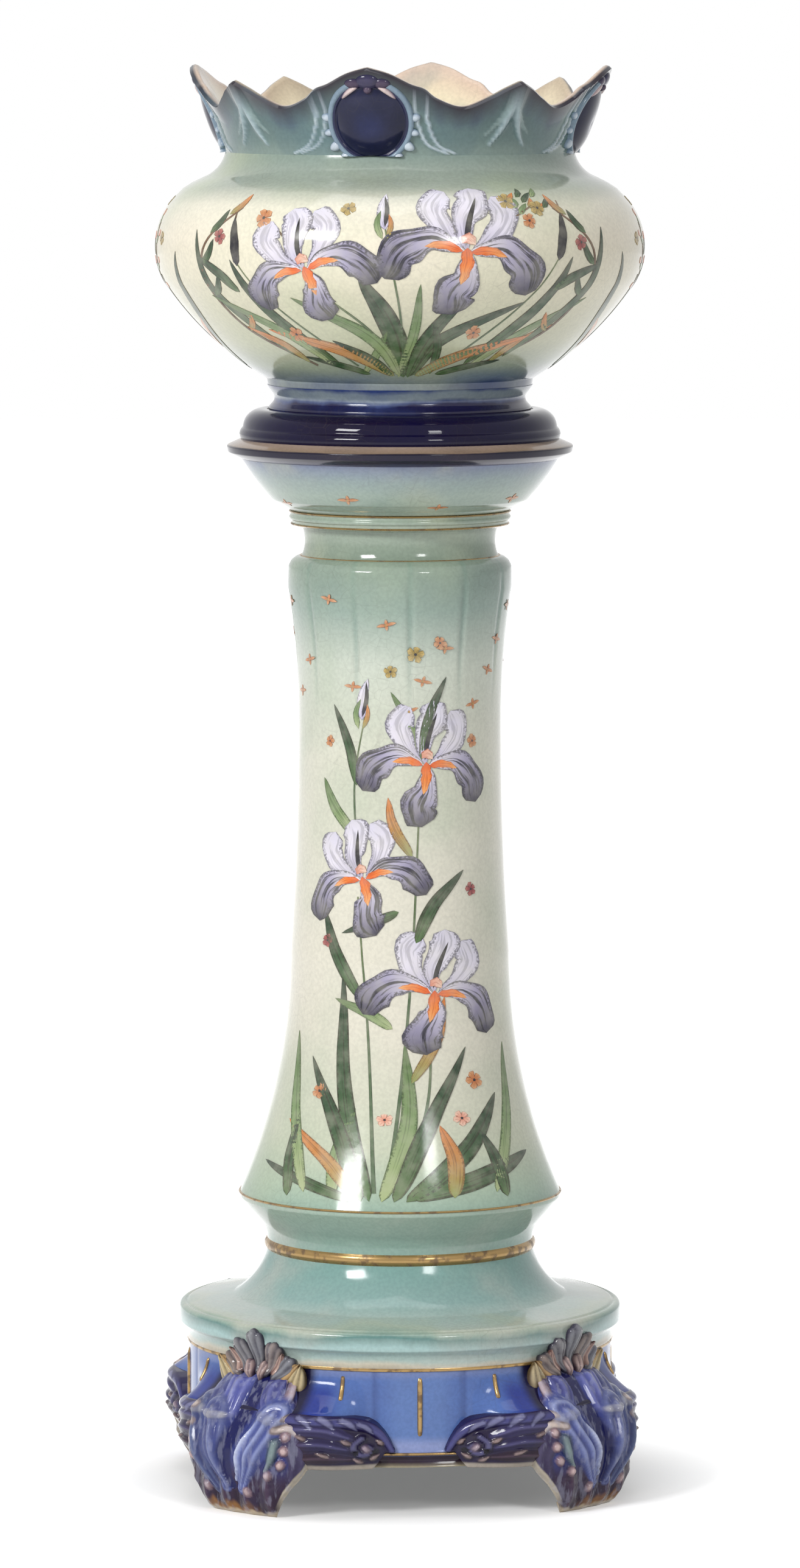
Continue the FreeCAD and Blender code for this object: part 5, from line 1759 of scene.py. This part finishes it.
    def build_shell(self, index: int) -> None:
        """The shell over a foot, with leaves that curl out on both sides of it."""
        angle = 45.0 + 90.0 * (index - 1)
        flip = -1 if index % 2 else 1
        fan = [self.lobe((6.0 * k, 96 - 2.0 * abs(k)), (8.0, 31 - 4.0 * abs(k), 7.0), 23.0 * k, "#35313C",
                         pale, angle, 3)
               for k, pale in ((-2, "#8B7C74"), (2, "#82838A"), (-1, "#8C8A8C"), (1, "#968A84"),
                               (0, "#8E8F92"))]
        fan += [self.lobe((3.4 * k, 91), (4.2, 15, 8.0), 14.0 * k, "#4A3A44", "#B79F98", angle,
                          3) for k in (-1, 1)]
        piece = join(fan, f"foot_shell_leaves_{index}")
        finish_shape(piece)
        seat_piece(piece, self.finishes.painted, Body.STAND, Slot.LILAC, f"foot_shell_{index}")
        leaves = []
        for side in (flip, -flip):
            leaves += [self.lobe((side * x, z), size, side * turn, low, top, angle, 3, True)
                       for x, z, size, turn, low, top in (
                           (19, 91, (6.2, 21, 4.6), 46, "#4E3822", "#B99868"),
                           (27, 83, (6.6, 23, 5.4), 22, "#5C4C30", "#CBB98F"),
                           (14, 95, (4.6, 19, 4.6), 26, "#5E403C", "#B99C90"))]
        piece = join(leaves, f"foot_gilt_leaves_{index}")
        finish_shape(piece)
        seat_piece(piece, self.finishes.painted, Body.STAND, Slot.GILDING)

    def build(self) -> None:
        """Makes the base."""
        self.build_drum()
        self.build_sill()
        for index in range(1, self.sides + 1):
            self.build_ribs(index)
            self.build_hood(index, 1)
            self.build_hood(index, -1)
            self.build_foot(index)
            self.build_shell(index)


# ------------------------------------------------------------ studio
@dataclass
class Studio:
    """Floor, soft lights, white surroundings and the camera of the photograph."""

    distance: float = 5.94          # metres from the object's axis
    camera_height: float = 1.076
    azimuth: float = -5.3
    aim: float = 0.4974             # height at which the view crosses the axis
    lens: float = 193.97
    ambient: float = 0.33
    floor_glow: float = 0.17        # added to the lit floor under the stand; it rises to 1 round it

    def spot(self, azimuth: float, distance: float, height: float) -> Vector:
        """A place at an azimuth from the front."""
        turn = math.radians(azimuth)
        return Vector((distance * math.sin(turn), -distance * math.cos(turn), height))

    def camera(self) -> None:
        """Sets up the camera."""
        data = bpy.data.cameras.new("camera")
        data.lens = self.lens
        data.sensor_width = 36.0
        data.clip_end = 60.0
        camera = bpy.data.objects.new("camera", data)
        camera.location = self.spot(self.azimuth, self.distance, self.camera_height)
        sight = Vector((0, 0, self.aim)) - camera.location
        camera.rotation_euler = sight.to_track_quat("-Z", "Y").to_euler()
        bpy.context.scene.collection.objects.link(camera)
        bpy.context.scene.camera = camera

    def softbox(self, name: str, place: Vector, size: Point, power: float) -> None:
        """Hangs a softbox that faces the object."""
        data = bpy.data.lights.new(name, "AREA")
        data.shape = "RECTANGLE"
        data.size, data.size_y = size
        data.energy = power
        lamp = bpy.data.objects.new(name, data)
        lamp.location = place
        lamp.rotation_euler = (Vector((0, 0, 0.5)) - place).to_track_quat("-Z", "Y").to_euler()
        bpy.context.scene.collection.objects.link(lamp)

    def seen(self, tree: bpy.types.NodeTree) -> bpy.types.NodeSocket:
        """One for rays from the camera, from gloss and through glass."""
        path = tree.nodes.new("ShaderNodeLightPath")
        total = path.outputs["Is Camera Ray"]
        for name in ("Is Glossy Ray", "Is Transmission Ray"):
            either = tree.nodes.new("ShaderNodeMath")
            either.operation = "MAXIMUM"
            tree.links.new(total, either.inputs[0])
            tree.links.new(path.outputs[name], either.inputs[1])
            total = either.outputs[0]
        return total

    def surroundings(self) -> None:
        """White to the eye and in reflections, and a plain soft light otherwise."""
        world = bpy.data.worlds.new("studio")
        bpy.context.scene.world = world
        world.use_nodes = True
        tree = world.node_tree
        mixed = tree.nodes.new("ShaderNodeMixShader")
        soft = tree.nodes["Background"]
        soft.inputs["Color"].default_value = (1, 1, 1, 1)
        soft.inputs["Strength"].default_value = self.ambient
        white = tree.nodes.new("ShaderNodeBackground")
        white.inputs["Color"].default_value = (1, 1, 1, 1)
        tree.links.new(self.seen(tree), mixed.inputs[0])
        tree.links.new(soft.outputs[0], mixed.inputs[1])
        tree.links.new(white.outputs[0], mixed.inputs[2])
        tree.links.new(mixed.outputs[0], tree.nodes["World Output"].inputs[0])

    def floor(self) -> None:
        """A plain white floor that keeps the object's shadow."""
        clear()
        bpy.ops.mesh.primitive_circle_add(vertices=96, radius=14.0, fill_type="NGON")
        floor = bpy.context.object
        floor.name = "floor"
        material = bpy.data.materials.new("floor")
        material.use_nodes = True
        tree = material.node_tree
        shader = tree.nodes["Principled BSDF"]
        shader.inputs["Base Color"].default_value = (0.8, 0.8, 0.8, 1)
        shader.inputs["Roughness"].default_value = 0.9
        shader.inputs["Specular IOR Level"].default_value = 0.0
        shader.inputs["Emission Color"].default_value = (1, 1, 1, 1)
        spot = tree.nodes.new("ShaderNodeTexCoord")
        away = tree.nodes.new("ShaderNodeVectorMath")
        away.operation = "LENGTH"
        tree.links.new(spot.outputs["Object"], away.inputs[0])
        lift = tree.nodes.new("ShaderNodeMapRange")
        lift.interpolation_type = "SMOOTHSTEP"
        for socket, amount in zip(lift.inputs[1:5], (0.1, 0.36, self.floor_glow, 1.0)):
            socket.default_value = amount
        tree.links.new(away.outputs["Value"], lift.inputs[0])
        glow = tree.nodes.new("ShaderNodeMath")
        glow.operation = "MULTIPLY"
        tree.links.new(lift.outputs[0], glow.inputs[1])
        tree.links.new(self.seen(tree), glow.inputs[0])
        tree.links.new(glow.outputs[0], shader.inputs["Emission Strength"])
        floor.data.materials.append(material)

    def build(self) -> None:
        """Sets up the studio."""
        bpy.context.scene.view_settings.view_transform = "Standard"
        self.camera()
        self.surroundings()
        self.floor()
        self.softbox("window_left", self.spot(-46, 4.4, 2.9), (1.35, 0.95), 155)
        self.softbox("window_right", self.spot(21, 4.4, 2.4), (0.75, 0.8), 40)
        self.softbox("overhead", Vector((-0.3, -0.3, 5.2)), (3.0, 3.0), 60)


def main() -> None:
    """Builds the looks in order."""
    logging.basicConfig(level=logging.INFO, format="%(message)s")
    finishes = Finishes()
    Studio().build()
    Base(finishes).build()
    Column(finishes).build()
    Bowl(finishes).build()


if __name__ == "__main__":
    main()
